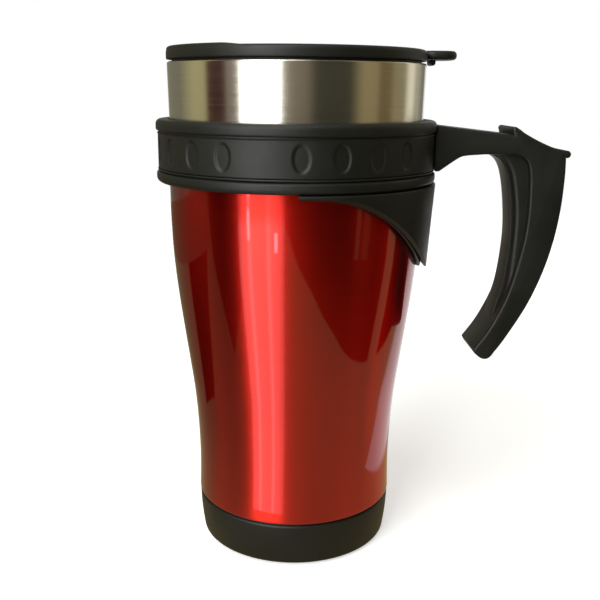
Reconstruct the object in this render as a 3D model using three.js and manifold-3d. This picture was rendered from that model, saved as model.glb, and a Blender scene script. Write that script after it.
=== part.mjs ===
// Insulated travel mug with a collar, a hook handle and a lid that lifts off.
// Millimetres, +Z up. The origin is on the mug's axis, at the surface it stands on.
// The handle points along +X and the lid's drinking side along -X.
import * as THREE from 'three';
import { mergeVertices } from 'three/addons/utils/BufferGeometryUtils.js';
import Module from 'manifold-3d';

const wasm = await Module();
wasm.setup();

// Fits shared by every piece.
const clearance = 0.3;      // running gap between two pieces that touch
const overrun = 2;          // how far a cutting shape passes the face it cuts
const ringSteps = 36;       // facets round every turned piece
const cornerSteps = 3;      // facets round a quarter turn of a profile
const barSteps = 12;        // facets round a screw or a small round bar

// Steel cup: the band that shows between lid and collar, then the hidden liner.
const mouthRadius = 42;     // outside of the band just under its lip
const bandHeight = 17.7;    // collar top to lip top
const bandDraft = 0.0206;   // radius lost for each millimetre down the band
const cupWall = 0.8;
const lipRoll = 0.75;       // radius of the rolled lip
const lipProud = 0.15;      // how far the roll stands out of the band
const insulationGap = 3;    // air space between cup and shell
const neckLength = 22;      // height in which the cup draws in to that space
const cupFloorLift = 0.9;   // cup's underside above the base plug
const cupCornerRadius = 6;
const cupLevels = 6;        // steps up the liner's profile

// Lacquered outer shell, from the base cap to its hidden top under the collar.
const shellHeight = 121.4;
const shellWall = 0.7;
const shellUnderCollar = 11.5;
const shellHem = 0.6;       // rounding of the shell's bottom edge
const shellRadiusShares = [
  0.802, 0.7965, 0.8055, 0.828, 0.8655, 0.9055, 0.943, 0.9715, 0.9855, 0.9905, 1,
];
const shellLevels = 9;      // steps up the shell's profile
const topSealHeight = 1.8;

// Base cap, with its rubber pad and the ring that seals it into the shell.
const baseHeight = 14.6;
const jointGap = 0.6;       // shadow gap between base cap and shell
const baseDraw = 1.3;       // radius lost from the cap's top to its foot
const baseFootRadius = 1.6; // rounding of the foot's edge
const baseWall = 2.2;
const baseLevels = 3;       // steps up the cap's rounded wall
const spigotHeight = 6;
const spigotWall = 2.2;
const sealGroove = 1.1;     // depth of the groove for the seal ring
const sealGrooveHeight = 2.2;
const sealGrooveLift = 2;   // groove's lower wall above the cap's ledge
const padRadius = 27;
const padThickness = 2.2;
const padProud = 0.4;       // the pad stands out of the cap by this much
const padBevel = 0.5;

// Collar ring: a channel with a rolled bead at each end of a band of ovals.
const collarHeight = 20;
const collarWall = 1.5;
const linerThickness = 0.95;
const linerHeight = 6.8;
const linerGapAngle = 24;   // degrees left open for the handle's screws
const beadProud = 0.6;
const topBeadHeight = 3.7;
const lowBeadHeight = 3.4;
const lipRound = 1.6;       // rounding of a bead's outer corner
const grooveDepth = 0.45;
const grooveWidth = 0.45;
const ridgeProud = 0.2;
const ridgeWidth = 0.45;
const ovalHeight = 9.1;
const ovalWidth = 5.7;
const ovalDepth = 0.5;
const ovalSteps = 14;
const ovalPlaceShare = 0.515; // middle of the ovals, up the collar's height
const ovalPitch = 15;       // degrees between ovals
const ovalsInGroup = 4;
const ovalGroupStarts = [45, 120]; // degrees from the handle, mirrored to the other side

// Apron: the pointed skirt that hangs from the collar under the handle.
const apronWall = 2.4;
const apronProud = 0.3;
const apronDrop = 30.5;     // from the collar to the point
const apronEdge = 0.9;      // least height, at the two thin ends
const apronStandoff = 1.2;  // from the shell to the point's inner face
const apronHalfAngle = 91;
const apronSwoopPower = 2.5;
const apronBevel = 0.8;
const apronShadow = 0.3;    // outer edge kept lower than the inner one
const apronSteps = 36;
const pegRadius = 0.9;
const pegHeight = 2.2;
const pegAngles = [-40, 0, 40];

// Handle: strut, thumb rest and a hooked grip with a stepped inner face.
const handleWidth = 19;
const handleReach = 44;     // collar bead to the tip of the thumb rest
const handleDrop = 80;      // strut's top edge at the collar to the grip's lower end
const strutDip = 1.3;       // strut's top edge below the collar's top
const handleEdge = 0.7;     // rounding of the side plates' edges
const stepWidth = 12.4;     // middle step on the inner face
const spineWidth = 6.4;     // narrow spine on that step
const thumbBarRadius = 1.5;
const nibRadius = 1.25;

// Two screws hold the handle to the collar from behind.
const screwSpacing = 4.8;
const screwHeadRadius = 2.1;
const screwHeadHeight = 0.8;
const screwRadius = 1.1;
const screwLength = 9;

// Lid: rim, skirt, plug, deck with the slider on it, drinking lip and thumb tab.
const skirtHeight = 3.9;
const rimProud = 0.2;       // how far the rim stands out of the cup's mouth
const rimRound = 1.4;
const rimWidth = 4.4;
const wellDepth = 3.2;      // deck below the rim
const deckThickness = 2;
const plugDepth = 11.5;
const plugWall = 1.6;
const gasketGroove = 1;
const gasketHeight = 2.4;
const gasketLift = 5.5;     // groove above the plug's lower edge
const drinkLipHeight = 0.8;
const drinkLipWidth = 2.6;
const drinkLipHalfAngle = 70;
const tabLength = 10.5;
const tabWidth = 15;
const tabBeadShare = 0.7;   // bead's length, of the tab's width
const tabThickness = 2.6;
const tabRound = 0.6;
const tabBeadRadius = 1;
const drinkHoleLength = 14;
const drinkHoleWidth = 6;
const drinkHoleRoundShare = 0.475; // corner radius, of the hole's width
const drinkHoleInset = 5;   // from the rim's inner wall to the hole
const ventRadius = 1.2;
const ventPlace = 24;

// Slider that covers the drink hole, its soft pad and the clip under the deck.
const sliderTravel = 13;
const sliderLength = 35;
const sliderWidth = 16;
const sliderThickness = 2;
const sliderInset = 2;      // from the rim's inner wall to the slider's end
const sliderEdge = 0.4;
const padSeatDepth = 0.8;
const padSeatLength = 11;
const padSeatWidth = 14.6;
const padSeatInset = 1.6;
const sliderLift = 0.5;     // slider's underside above the deck
const knobLength = 7;
const knobWidth = 12;
const knobHeight = 1.6;
const stemLength = 4;
const stemWidth = 3.6;
const stemInset = 16;       // from the slider's drinking end to the stem
const clipLength = 10;
const clipWidth = 9;
const clipThickness = 1.4;
const railWidth = 1.5;
const railHeight = 2;

// Heights that follow from the sizes above.
const baseBottom = padProud;
const baseTop = baseBottom + baseHeight;
const shellBottom = baseTop + jointGap;
const shellTop = shellBottom + shellHeight;
const collarBottom = shellTop - shellUnderCollar;
const collarTop = collarBottom + collarHeight;
const lipTop = collarTop + bandHeight;
const spigotTop = baseTop + spigotHeight;
const cupBottom = spigotTop + cupFloorLift;
const skirtBottom = lipTop + clearance;
const lidTop = skirtBottom + skirtHeight;
const deckTop = lidTop - wellDepth;
const deckBottom = deckTop - deckThickness;
const plugBottom = skirtBottom - plugDepth;

// Radii that follow from the sizes above.
const bandRadius = (z) => mouthRadius - bandDraft * (lipTop - z);
const shellTopRadius = bandRadius(shellTop) + clearance + shellWall;
const linerRadius = shellTopRadius + clearance;
const channelRadius = linerRadius + linerThickness + clearance;
const collarRadius = channelRadius + collarWall;
const beadRadius = collarRadius + beadProud;
const pegPlace = (shellTopRadius + clearance + beadRadius) / 2;
const plugRadius = bandRadius(plugBottom) - cupWall - 2 * clearance;
const rimRadius = mouthRadius + rimProud;
const wellRadius = rimRadius - rimWidth - clearance;

// A smooth curve through evenly spaced shares.
function shareAt(shares, place) {
  const last = shares.length - 1;
  const scaled = Math.min(Math.max(place, 0), 1) * last;
  const i = Math.min(Math.floor(scaled), last - 1);
  const t = scaled - i;
  const before = i > 0 ? shares[i - 1] : 2 * shares[0] - shares[1];
  const after = i + 2 <= last ? shares[i + 2] : 2 * shares[last] - shares[last - 1];
  const startSlope = (shares[i + 1] - before) / 2;
  const endSlope = (after - shares[i]) / 2;
  const rise = shares[i + 1] - shares[i];
  const curve = 3 * rise - 2 * startSlope - endSlope;
  const twist = startSlope + endSlope - 2 * rise;
  return shares[i] + t * (startSlope + t * (curve + t * twist));
}

const shellRadius = (z) =>
  shellTopRadius * shareAt(shellRadiusShares, (z - shellBottom) / shellHeight);

// Outside radius of the cup below its band, drawn in from the shell by the air space.
function cupRadius(z) {
  const place = Math.min(Math.max((shellTop - z) / neckLength, 0), 1);
  const ease = place * place * (3 - 2 * place);
  return shellRadius(z) - shellWall - clearance - (insulationGap - clearance) * ease;
}

// Solids.

function signedVolume(positions, indices) {
  let volume = 0;
  const corner = (k) => new THREE.Vector3().fromArray(positions, 3 * indices[k]);
  for (let k = 0; k < indices.length; k += 3) {
    volume += corner(k).dot(corner(k + 1).cross(corner(k + 2)));
  }
  return volume;
}

// A closed three.js geometry as a solid, with its faces pointing out.
function solidOf(geometry) {
  const bare = geometry.clone();
  bare.deleteAttribute('normal');
  bare.deleteAttribute('uv');
  const merged = mergeVertices(bare, 1e-5);
  const positions = merged.attributes.position.array;
  const indices = [];
  for (let k = 0; k < merged.index.count; k += 3) {
    const [a, b, c] = [0, 1, 2].map((step) => merged.index.getX(k + step));
    if (a !== b && b !== c && c !== a) indices.push(a, b, c);
  }
  if (signedVolume(positions, indices) < 0) indices.reverse();
  return new wasm.Manifold(new wasm.Mesh({
    numProp: 3,
    vertProperties: new Float32Array(positions),
    triVerts: new Uint32Array(indices),
  }));
}

// A profile of [radius, height] points turned round the mug's axis.
function revolve(profile) {
  const points = profile.map(([radius, height]) => new THREE.Vector2(radius, height));
  const onAxis = profile[0][0] === 0 && profile[profile.length - 1][0] === 0;
  if (!onAxis) points.push(points[0].clone());
  return solidOf(new THREE.LatheGeometry(points, ringSteps).rotateX(Math.PI / 2));
}

// A ring of rectangular section.
function ring(inner, outer, bottom, top) {
  return revolve([[inner, bottom], [outer, bottom], [outer, top], [inner, top]]);
}

// An outline in X and Z, as wide as said along Y and centred on the XZ plane.
function plateAcross(outline, width, edge, curveSegments = 2, bevelSegments = 1) {
  const geometry = new THREE.ExtrudeGeometry(outline, {
    depth: width - 2 * edge,
    bevelEnabled: edge > 0,
    bevelThickness: edge,
    bevelSize: edge,
    bevelOffset: -edge,
    bevelSegments,
    curveSegments,
  });
  geometry.translate(0, 0, edge - width / 2);
  return solidOf(geometry.rotateX(Math.PI / 2));
}

// An outline in X and Y, raised from the given height.
function plateUp(outline, bottom, thickness, edge = 0, curveSegments = 4) {
  const geometry = new THREE.ExtrudeGeometry(outline, {
    depth: thickness - 2 * edge,
    bevelEnabled: edge > 0,
    bevelThickness: edge,
    bevelSize: edge,
    bevelOffset: -edge,
    bevelSegments: 1,
    curveSegments,
  });
  return solidOf(geometry.translate(0, 0, bottom + edge));
}

// A rounded rectangle in plan, from its low X to its high X.
function roundedPlan(lowX, highX, width, radius) {
  const half = width / 2;
  const outline = new THREE.Shape();
  outline.moveTo(lowX + radius, -half);
  outline.lineTo(highX - radius, -half);
  outline.absarc(highX - radius, -half + radius, radius, -Math.PI / 2, 0);
  outline.lineTo(highX, half - radius);
  outline.absarc(highX - radius, half - radius, radius, 0, Math.PI / 2);
  outline.lineTo(lowX + radius, half);
  outline.absarc(lowX + radius, half - radius, radius, Math.PI / 2, Math.PI);
  outline.lineTo(lowX, -half + radius);
  outline.absarc(lowX + radius, -half + radius, radius, Math.PI, 1.5 * Math.PI);
  return outline;
}

// A box from its low corner to its high corner.
function block(low, high) {
  const size = high.map((value, axis) => value - low[axis]);
  const geometry = new THREE.BoxGeometry(...size);
  geometry.translate(...low.map((value, axis) => value + size[axis] / 2));
  return solidOf(geometry);
}

// A round bar along X or Y or Z, centred where said.
function bar(axis, radius, length, centre, steps = barSteps) {
  const geometry = new THREE.CylinderGeometry(radius, radius, length, steps);
  if (axis === 'x') geometry.rotateZ(Math.PI / 2);
  if (axis === 'z') geometry.rotateX(Math.PI / 2);
  return solidOf(geometry.translate(...centre));
}

// Sections of equal point counts joined in order, with flat ends.
function loft(sections) {
  const count = sections[0].length;
  const positions = sections.flat().flatMap((point) => point.toArray());
  const indices = [];
  for (let s = 0; s + 1 < sections.length; s += 1) {
    for (let p = 0; p < count; p += 1) {
      const here = s * count + p;
      const side = s * count + (p + 1) % count;
      indices.push(here, side, here + count);
      indices.push(side, side + count, here + count);
    }
  }
  const last = (sections.length - 1) * count;
  for (let p = 1; p + 1 < count; p += 1) {
    indices.push(0, p + 1, p);
    indices.push(last, last + p, last + p + 1);
  }
  const geometry = new THREE.BufferGeometry();
  geometry.setAttribute('position', new THREE.Float32BufferAttribute(positions, 3));
  geometry.setIndex(indices);
  return solidOf(geometry);
}

// A point on the mug, by degrees from the handle.
function around(degrees, radius, z) {
  const angle = THREE.MathUtils.degToRad(degrees);
  return new THREE.Vector3(radius * Math.cos(angle), radius * Math.sin(angle), z);
}

// Quarter round from one corner side to the other, as [radius, height] points.
function roundCorner(radius, height, size, startDegrees) {
  const points = [];
  for (let k = 0; k <= cornerSteps; k += 1) {
    const angle = THREE.MathUtils.degToRad(startDegrees - 90 * k / cornerSteps);
    points.push([radius + size * Math.cos(angle), height + size * Math.sin(angle)]);
  }
  return points;
}

// Evenly spaced heights, both ends included.
const heights = (from, to, steps) =>
  Array.from({ length: steps + 1 }, (unused, k) => from + (to - from) * k / steps);

// Steel cup with a rolled lip. The liner below the collar follows the shell.
function innerCup() {
  const lipCentre = mouthRadius + lipProud - lipRoll;
  const cornerTop = cupBottom + cupCornerRadius;
  const cornerRadius = cupRadius(cornerTop) - cupCornerRadius;
  const liner = heights(cornerTop, shellTop, cupLevels);
  const profile = [
    [0, cupBottom],
    ...roundCorner(cornerRadius, cornerTop, cupCornerRadius, 0).reverse(),
    ...liner.slice(1).map((z) => [cupRadius(z), z]),
    [bandRadius(lipTop - 2 * lipRoll), lipTop - 2 * lipRoll],
    [mouthRadius + lipProud, lipTop - lipRoll],
    [lipCentre + lipRoll / 2, lipTop - lipRoll / 7],
    [lipCentre - lipRoll / 4, lipTop],
    [bandRadius(lipTop) - cupWall, lipTop - lipRoll],
    [bandRadius(shellTop) - cupWall, shellTop],
    ...liner.slice(1, -1).reverse().map((z) => [cupRadius(z) - cupWall, z]),
    ...roundCorner(cornerRadius, cornerTop, cupCornerRadius - cupWall, 0),
    [0, cupBottom + cupWall],
  ];
  return revolve(profile);
}

// Lacquered shell, open at both ends, with a rounded bottom edge.
function outerShell() {
  const levels = heights(shellBottom + 2 * shellHem, shellTop, shellLevels);
  return revolve([
    [shellRadius(shellBottom) - shellWall, shellBottom],
    [shellRadius(shellBottom) - shellHem, shellBottom],
    [shellRadius(shellBottom) - shellHem / 4, shellBottom + shellHem / 2],
    ...levels.map((z) => [shellRadius(z), z]),
    ...levels.reverse().map((z) => [shellRadius(z) - shellWall, z]),
  ]);
}

// Ring that closes the air space where the shell ends under the collar.
function shellTopSeal() {
  const bottom = shellTop + clearance;
  const inner = bandRadius(bottom + topSealHeight) + clearance;
  return ring(inner, shellTopRadius, bottom, bottom + topSealHeight);
}

// Moulded base cap: foot, rounded wall, ledge and the spigot inside the shell.
function baseCap() {
  const topRadius = shellRadius(shellBottom);
  const footRadius = topRadius - baseDraw;
  const footTop = baseBottom + baseFootRadius;
  const wall = new THREE.QuadraticBezierCurve(
    new THREE.Vector2(footRadius, footTop),
    new THREE.Vector2(topRadius - baseDraw / 5, footTop + (baseTop - footTop) / 2),
    new THREE.Vector2(topRadius - baseDraw / 8, baseTop - jointGap),
  );
  const spigotRadius = topRadius - shellWall - clearance;
  const grooveBottom = baseTop + sealGrooveLift;
  const grooveTop = grooveBottom + sealGrooveHeight;
  const seat = padProud + padThickness;
  return revolve([
    [0, seat],
    [padRadius + clearance, seat],
    [padRadius + clearance, baseBottom],
    [footRadius - baseFootRadius, baseBottom],
    ...roundCorner(footRadius - baseFootRadius, footTop, baseFootRadius, 0)
      .reverse().slice(1, -1),
    ...wall.getPoints(baseLevels).map((point) => [point.x, point.y]),
    [topRadius - baseDraw / 8 - jointGap / 2, baseTop],
    [spigotRadius, baseTop],
    [spigotRadius, grooveBottom],
    [spigotRadius - sealGroove, grooveBottom],
    [spigotRadius - sealGroove, grooveTop],
    [spigotRadius, grooveTop],
    [spigotRadius, spigotTop],
    [spigotRadius - spigotWall, spigotTop],
    [spigotRadius - spigotWall, seat + baseWall],
    [0, seat + baseWall],
  ]);
}

// Rubber ring in the spigot's groove.
function baseSealRing() {
  const outer = shellRadius(shellBottom + sealGrooveLift) - shellWall - clearance;
  const inner = shellRadius(shellBottom) - shellWall - sealGroove;
  const bottom = baseTop + sealGrooveLift + clearance;
  return ring(inner, outer, bottom, bottom + sealGrooveHeight - 2 * clearance);
}

// Rubber pad that the mug stands on.
function basePad() {
  const top = padProud + padThickness - clearance;
  return revolve([
    [0, 0],
    [padRadius - padBevel, 0],
    [padRadius, padBevel],
    [padRadius, top],
    [0, top],
  ]);
}

// The collar's section: channel inside, beads, ridges and band outside.
function collarProfile() {
  const topBore = bandRadius(collarTop) + clearance;
  const lowBore = shellTopRadius + clearance;
  const beadFoot = collarTop - topBeadHeight;
  const bandTop = beadFoot - grooveWidth - ridgeWidth;
  const lowBeadTop = collarBottom + lowBeadHeight;
  const bandBottom = lowBeadTop + 2 * grooveWidth + ridgeWidth;
  const round = beadRadius - lipRound;
  return [
    [topBore, beadFoot],
    [topBore, collarTop - grooveWidth],
    [topBore + grooveWidth, collarTop],
    ...roundCorner(round, collarTop - lipRound, lipRound, 90),
    [beadRadius - grooveDepth / 2, beadFoot + grooveWidth],
    [collarRadius - grooveDepth, beadFoot],
    [collarRadius - grooveDepth, beadFoot - grooveWidth],
    [collarRadius + ridgeProud, beadFoot - grooveWidth],
    [collarRadius, bandTop],
    [collarRadius, bandBottom],
    [collarRadius - grooveDepth, bandBottom - grooveWidth / 2],
    [collarRadius + ridgeProud, bandBottom - grooveWidth],
    [collarRadius + ridgeProud, lowBeadTop + grooveWidth],
    [collarRadius - grooveDepth, lowBeadTop + grooveWidth / 2],
    [beadRadius - grooveDepth / 2, lowBeadTop - grooveWidth / 2],
    ...roundCorner(round, collarBottom + lipRound, lipRound, 0),
    [lowBore, collarBottom],
    [lowBore, lowBeadTop - grooveWidth],
    [channelRadius, lowBeadTop - grooveWidth],
    [channelRadius, beadFoot],
  ];
}

// Heights of the two screws, as high as the channel lets the upper head sit.
const screwMiddle =
  collarTop - topBeadHeight - clearance - screwHeadRadius - screwSpacing / 2;
const screwHeights = [screwMiddle - screwSpacing / 2, screwMiddle + screwSpacing / 2];

// One shallow oval, as the solid that is cut from the band.
function ovalCutter(degrees) {
  const depth = 2 * ovalDepth;
  const geometry = new THREE.CylinderGeometry(1, 1, depth, ovalSteps);
  geometry.rotateZ(Math.PI / 2);
  geometry.scale(1, ovalHeight / 2, ovalWidth / 2);
  geometry.rotateX(Math.PI / 2);
  geometry.translate(collarRadius, 0, collarBottom + collarHeight * ovalPlaceShare);
  geometry.rotateZ(THREE.MathUtils.degToRad(degrees));
  return solidOf(geometry);
}

// Angles of every oval: groups of four on each side of the handle.
function ovalAngles() {
  const angles = [];
  for (const start of ovalGroupStarts) {
    for (let k = 0; k < ovalsInGroup; k += 1) {
      const angle = start + k * ovalPitch;
      angles.push(angle, -angle);
    }
  }
  return angles;
}

function collarRing() {
  let collar = revolve(collarProfile());
  for (const degrees of ovalAngles()) {
    collar = collar.subtract(ovalCutter(degrees));
  }
  for (const z of screwHeights) {
    const length = 2 * beadRadius;
    const hole = bar('x', screwRadius + clearance, length, [beadRadius, 0, z]);
    collar = collar.subtract(hole);
  }
  for (const degrees of pegAngles) {
    const centre = around(degrees, pegPlace, collarBottom);
    const height = 2 * (pegHeight + clearance);
    const hole = bar('z', pegRadius + clearance, height, centre.toArray());
    collar = collar.subtract(hole);
  }
  return collar;
}

// Soft liner between shell and collar, open where the screw heads sit.
function collarLiner() {
  const bottom = collarBottom + lowBeadHeight + clearance;
  const sections = heights(linerGapAngle / 2, 360 - linerGapAngle / 2, ringSteps)
    .map((degrees) => [
      around(degrees, linerRadius, bottom),
      around(degrees, linerRadius + linerThickness, bottom),
      around(degrees, linerRadius + linerThickness, bottom + linerHeight),
      around(degrees, linerRadius, bottom + linerHeight),
    ]);
  return loft(sections);
}

// Apron: its lower edge swoops from the thin ends down to the point.
function handleApron() {
  const top = collarBottom - clearance;
  const outerTop = beadRadius + apronProud;
  const apex = top - apronDrop;
  const outerApex = shellRadius(apex) + apronStandoff + apronWall;
  const outerAt = (z) => outerTop + (outerApex - outerTop) * (top - z) / apronDrop;
  const sections = heights(-apronHalfAngle, apronHalfAngle, apronSteps).map((degrees) => {
    const phase = THREE.MathUtils.degToRad(90 * degrees / apronHalfAngle);
    const swoop = Math.max(Math.cos(phase), 0) ** apronSwoopPower;
    const low = top - apronEdge - apronShadow - (apronDrop - apronEdge - apronShadow) * swoop;
    const bevel = Math.min(apronBevel, (top - low) / 3);
    return [
      around(degrees, outerAt(top) - apronBevel, top),
      around(degrees, outerAt(top), top - apronShadow),
      around(degrees, outerAt(low + bevel), low + bevel),
      around(degrees, outerAt(low) - bevel, low),
      around(degrees, outerAt(low) - apronWall, low),
      around(degrees, outerAt(top) - apronWall, top),
    ];
  });
  let apron = loft(sections);
  for (const degrees of pegAngles) {
    const centre = around(degrees, pegPlace, top);
    apron = apron.add(bar('z', pegRadius, 2 * pegHeight, centre.toArray()));
  }
  return apron;
}

// Places on the handle, as shares of its reach from the bead and its drop from the strut.
const strutTopShares = [[-0.06, 0], [0.553, 0.038]];
const thumbBarShare = [0.583, 0.026];
const thumbSlopeShares = [[0.64, 0.031], [0.71, 0.052], [0.79, 0.073], [0.87, 0.09], [0.957, 0.1]];
const nibShare = [0.9725, 0.1165];
const gripBackShares = [
  [0.964, 0.137], [0.967, 0.215], [0.955, 0.346], [0.918, 0.483],
  [0.85, 0.62], [0.745, 0.76], [0.598, 0.902], [0.515, 0.968],
];
const gripEndShares = [[0.475, 1.006], [0.415, 0.99]];
const plateInnerShares = [
  [0.37, 0.951], [0.47, 0.868], [0.557, 0.764], [0.623, 0.659],
  [0.707, 0.474], [0.725, 0.345], [0.712, 0.198], [0.685, 0.143], [0.6, 0.12],
];
const spineInnerShares = [
  [0.362, 0.956], [0.43, 0.868], [0.512, 0.753], [0.578, 0.65],
  [0.611, 0.474], [0.6, 0.335], [0.557, 0.205], [0.5, 0.143], [0.42, 0.1215],
];
const strutUnderShares = [[0.38, 0.12], [0.3, 0.1235], [0.17, 0.136], [0.02, 0.184]];

const handleTop = collarTop - strutDip;
const onHandle = ([along, down]) =>
  new THREE.Vector2(beadRadius + handleReach * along, handleTop - handleDrop * down);
const between = (first, second) =>
  first.map((pair, k) => pair.map((value, axis) => (value + second[k][axis]) / 2));

// One plate of the handle, with the given inner edge and the full outer outline.
function handleOutline(innerShares, withThumbRest) {
  const outline = new THREE.Shape();
  const start = onHandle(strutTopShares[0]);
  outline.moveTo(start.x, start.y);
  const strutEnd = onHandle(strutTopShares[1]);
  outline.lineTo(strutEnd.x, strutEnd.y);
  if (withThumbRest) {
    const barCentre = onHandle(thumbBarShare);
    outline.absarc(barCentre.x, barCentre.y, thumbBarRadius, Math.PI, 0.15 * Math.PI, true);
    const slope = thumbSlopeShares.map(onHandle);
    outline.lineTo(slope[0].x, slope[0].y);
    outline.splineThru(slope.slice(1));
    const nib = onHandle(nibShare);
    outline.absarc(nib.x, nib.y, nibRadius, 0.5 * Math.PI, -0.6 * Math.PI, true);
  }
  const back = gripBackShares.map(onHandle);
  outline.lineTo(back[0].x, back[0].y);
  outline.splineThru(back.slice(1));
  const [endBulge, endFace] = gripEndShares.map(onHandle);
  outline.quadraticCurveTo(endBulge.x, endBulge.y, endFace.x, endFace.y);
  const inner = innerShares.map(onHandle);
  outline.lineTo(inner[0].x, inner[0].y);
  outline.splineThru(inner.slice(1));
  outline.splineThru(strutUnderShares.map(onHandle));
  outline.lineTo(start.x, onHandle(strutUnderShares[3]).y);
  return outline;
}

// Everything within the collar's outside, with the running gap added.
function collarEnvelope() {
  const beadFoot = collarTop - topBeadHeight;
  const lowBeadTop = collarBottom + lowBeadHeight;
  const bead = beadRadius + clearance;
  const band = collarRadius + ridgeProud + clearance;
  return revolve([
    [0, collarBottom - overrun],
    [bead, collarBottom - overrun],
    [bead, lowBeadTop + clearance],
    [band, lowBeadTop + clearance],
    [band, beadFoot - clearance],
    [bead, beadFoot - clearance],
    [bead, collarTop + overrun],
    [0, collarTop + overrun],
  ]);
}

function handle() {
  const stepShares = between(plateInnerShares, spineInnerShares);
  let body = plateAcross(handleOutline(plateInnerShares, true), handleWidth, handleEdge, 2, 2);
  body = body.add(plateAcross(handleOutline(stepShares, false), stepWidth, handleEdge));
  body = body.add(plateAcross(handleOutline(spineInnerShares, false), spineWidth, handleEdge));
  body = body.subtract(collarEnvelope());
  for (const z of screwHeights) {
    const hole = bar('x', screwRadius + clearance, 2 * screwLength, [channelRadius, 0, z]);
    body = body.subtract(hole);
  }
  return body;
}

// A pan-head screw, seen from behind the collar, with its shank in the handle.
function handleScrew(z) {
  const face = channelRadius - clearance;
  const head = bar('x', screwHeadRadius, screwHeadHeight, [face - screwHeadHeight / 2, 0, z]);
  const shank = bar('x', screwRadius, screwLength, [face + screwLength / 2 - screwHeadHeight, 0, z]);
  return head.add(shank);
}

// Section of the lid: deck, well wall, rim, skirt and plug.
function lidProfile() {
  const groove = plugBottom + gasketLift;
  const wellEdge = deckThickness / 4;
  return [
    [0, deckTop],
    [wellRadius - wellEdge, deckTop],
    [wellRadius, deckTop + wellEdge],
    [wellRadius, lidTop - wellEdge],
    [wellRadius + wellEdge, lidTop],
    ...roundCorner(rimRadius - rimRound, lidTop - rimRound, rimRound, 90),
    [rimRadius, skirtBottom + clearance],
    [rimRadius - clearance, skirtBottom],
    [plugRadius, skirtBottom],
    [plugRadius, groove + gasketHeight + 2 * clearance],
    [plugRadius - gasketGroove, groove + gasketHeight + 2 * clearance],
    [plugRadius - gasketGroove, groove],
    [plugRadius, groove],
    [plugRadius, plugBottom + clearance],
    [plugRadius - clearance, plugBottom],
    [plugRadius - plugWall, plugBottom],
    [plugRadius - plugWall, deckBottom],
    [0, deckBottom],
  ];
}

// Raised drinking lip on the rim, opposite the handle.
function drinkingLip() {
  const outer = rimRadius - rimRound / 2;
  const steps = Math.ceil(ringSteps * drinkLipHalfAngle / 180);
  const angles = heights(180 - drinkLipHalfAngle, 180 + drinkLipHalfAngle, steps);
  return loft(angles.map((degrees) => [
    around(degrees, outer - drinkLipWidth, lidTop - rimRound),
    around(degrees, outer, lidTop - rimRound),
    around(degrees, outer, lidTop + drinkLipHeight / 2),
    around(degrees, outer - drinkLipHeight / 2, lidTop + drinkLipHeight),
    around(degrees, outer - drinkLipWidth, lidTop + drinkLipHeight),
  ]));
}

// Thumb tab over the handle, with the bead under its root.
function thumbTab() {
  const root = rimRadius - rimRound;
  const tip = rimRadius + tabLength;
  const outline = roundedPlan(root - rimRound, tip, tabWidth, tabWidth / 3);
  const bottom = lidTop - tabThickness - clearance;
  const tab = plateUp(outline, bottom, tabThickness, tabRound);
  const centre = [rimRadius + 2 * tabBeadRadius, 0, bottom];
  return tab.add(bar('y', tabBeadRadius, tabWidth * tabBeadShare, centre));
}

// Where the slider and what it works with lie along X, with the lid closed.
const sliderLow = -(wellRadius - sliderInset);
const sliderHigh = sliderLow + sliderLength;
const drinkHoleLow = -(wellRadius - drinkHoleInset);
const stemLow = sliderLow + stemInset;
const stemHigh = stemLow + stemLength;
const sliderBottom = deckTop + sliderLift;

// The two low rails that guide the slider.
function sliderRails() {
  const inner = sliderWidth / 2 + clearance;
  const low = sliderLow + railWidth;
  const high = sliderHigh + sliderTravel;
  const bottom = deckTop - deckThickness / 2;
  const top = deckTop + railHeight;
  const left = block([low, inner, bottom], [high, inner + railWidth, top]);
  const right = block([low, -inner - railWidth, bottom], [high, -inner, top]);
  return left.add(right);
}

function lidShell() {
  let lid = revolve(lidProfile());
  lid = lid.add(drinkingLip()).add(thumbTab()).add(sliderRails());
  const under = deckBottom - overrun;
  const through = deckThickness + 2 * overrun;
  const drinkHigh = drinkHoleLow + drinkHoleWidth;
  const drink = roundedPlan(drinkHoleLow, drinkHigh, drinkHoleLength, drinkHoleWidth * drinkHoleRoundShare);
  const slotLow = stemLow - clearance;
  const slotHigh = stemHigh + sliderTravel + clearance;
  const slotWidth = stemWidth + 2 * clearance;
  const slot = roundedPlan(slotLow, slotHigh, slotWidth, clearance);
  lid = lid.subtract(plateUp(drink, under, through));
  lid = lid.subtract(plateUp(slot, under, through, 0, 2));
  return lid.subtract(bar('z', ventRadius, 2 * through, [ventPlace, 0, deckTop]));
}

// Soft ring in the plug's groove, which seals against the cup.
function lidGasket() {
  const bottom = plugBottom + gasketLift + clearance;
  const outer = bandRadius(bottom) - cupWall - clearance;
  const inner = plugRadius - gasketGroove + clearance;
  const middle = bottom + gasketHeight / 2;
  return revolve([
    [inner, bottom],
    [plugRadius, bottom],
    [outer, middle],
    [plugRadius, bottom + gasketHeight],
    [inner, bottom + gasketHeight],
  ]);
}

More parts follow.
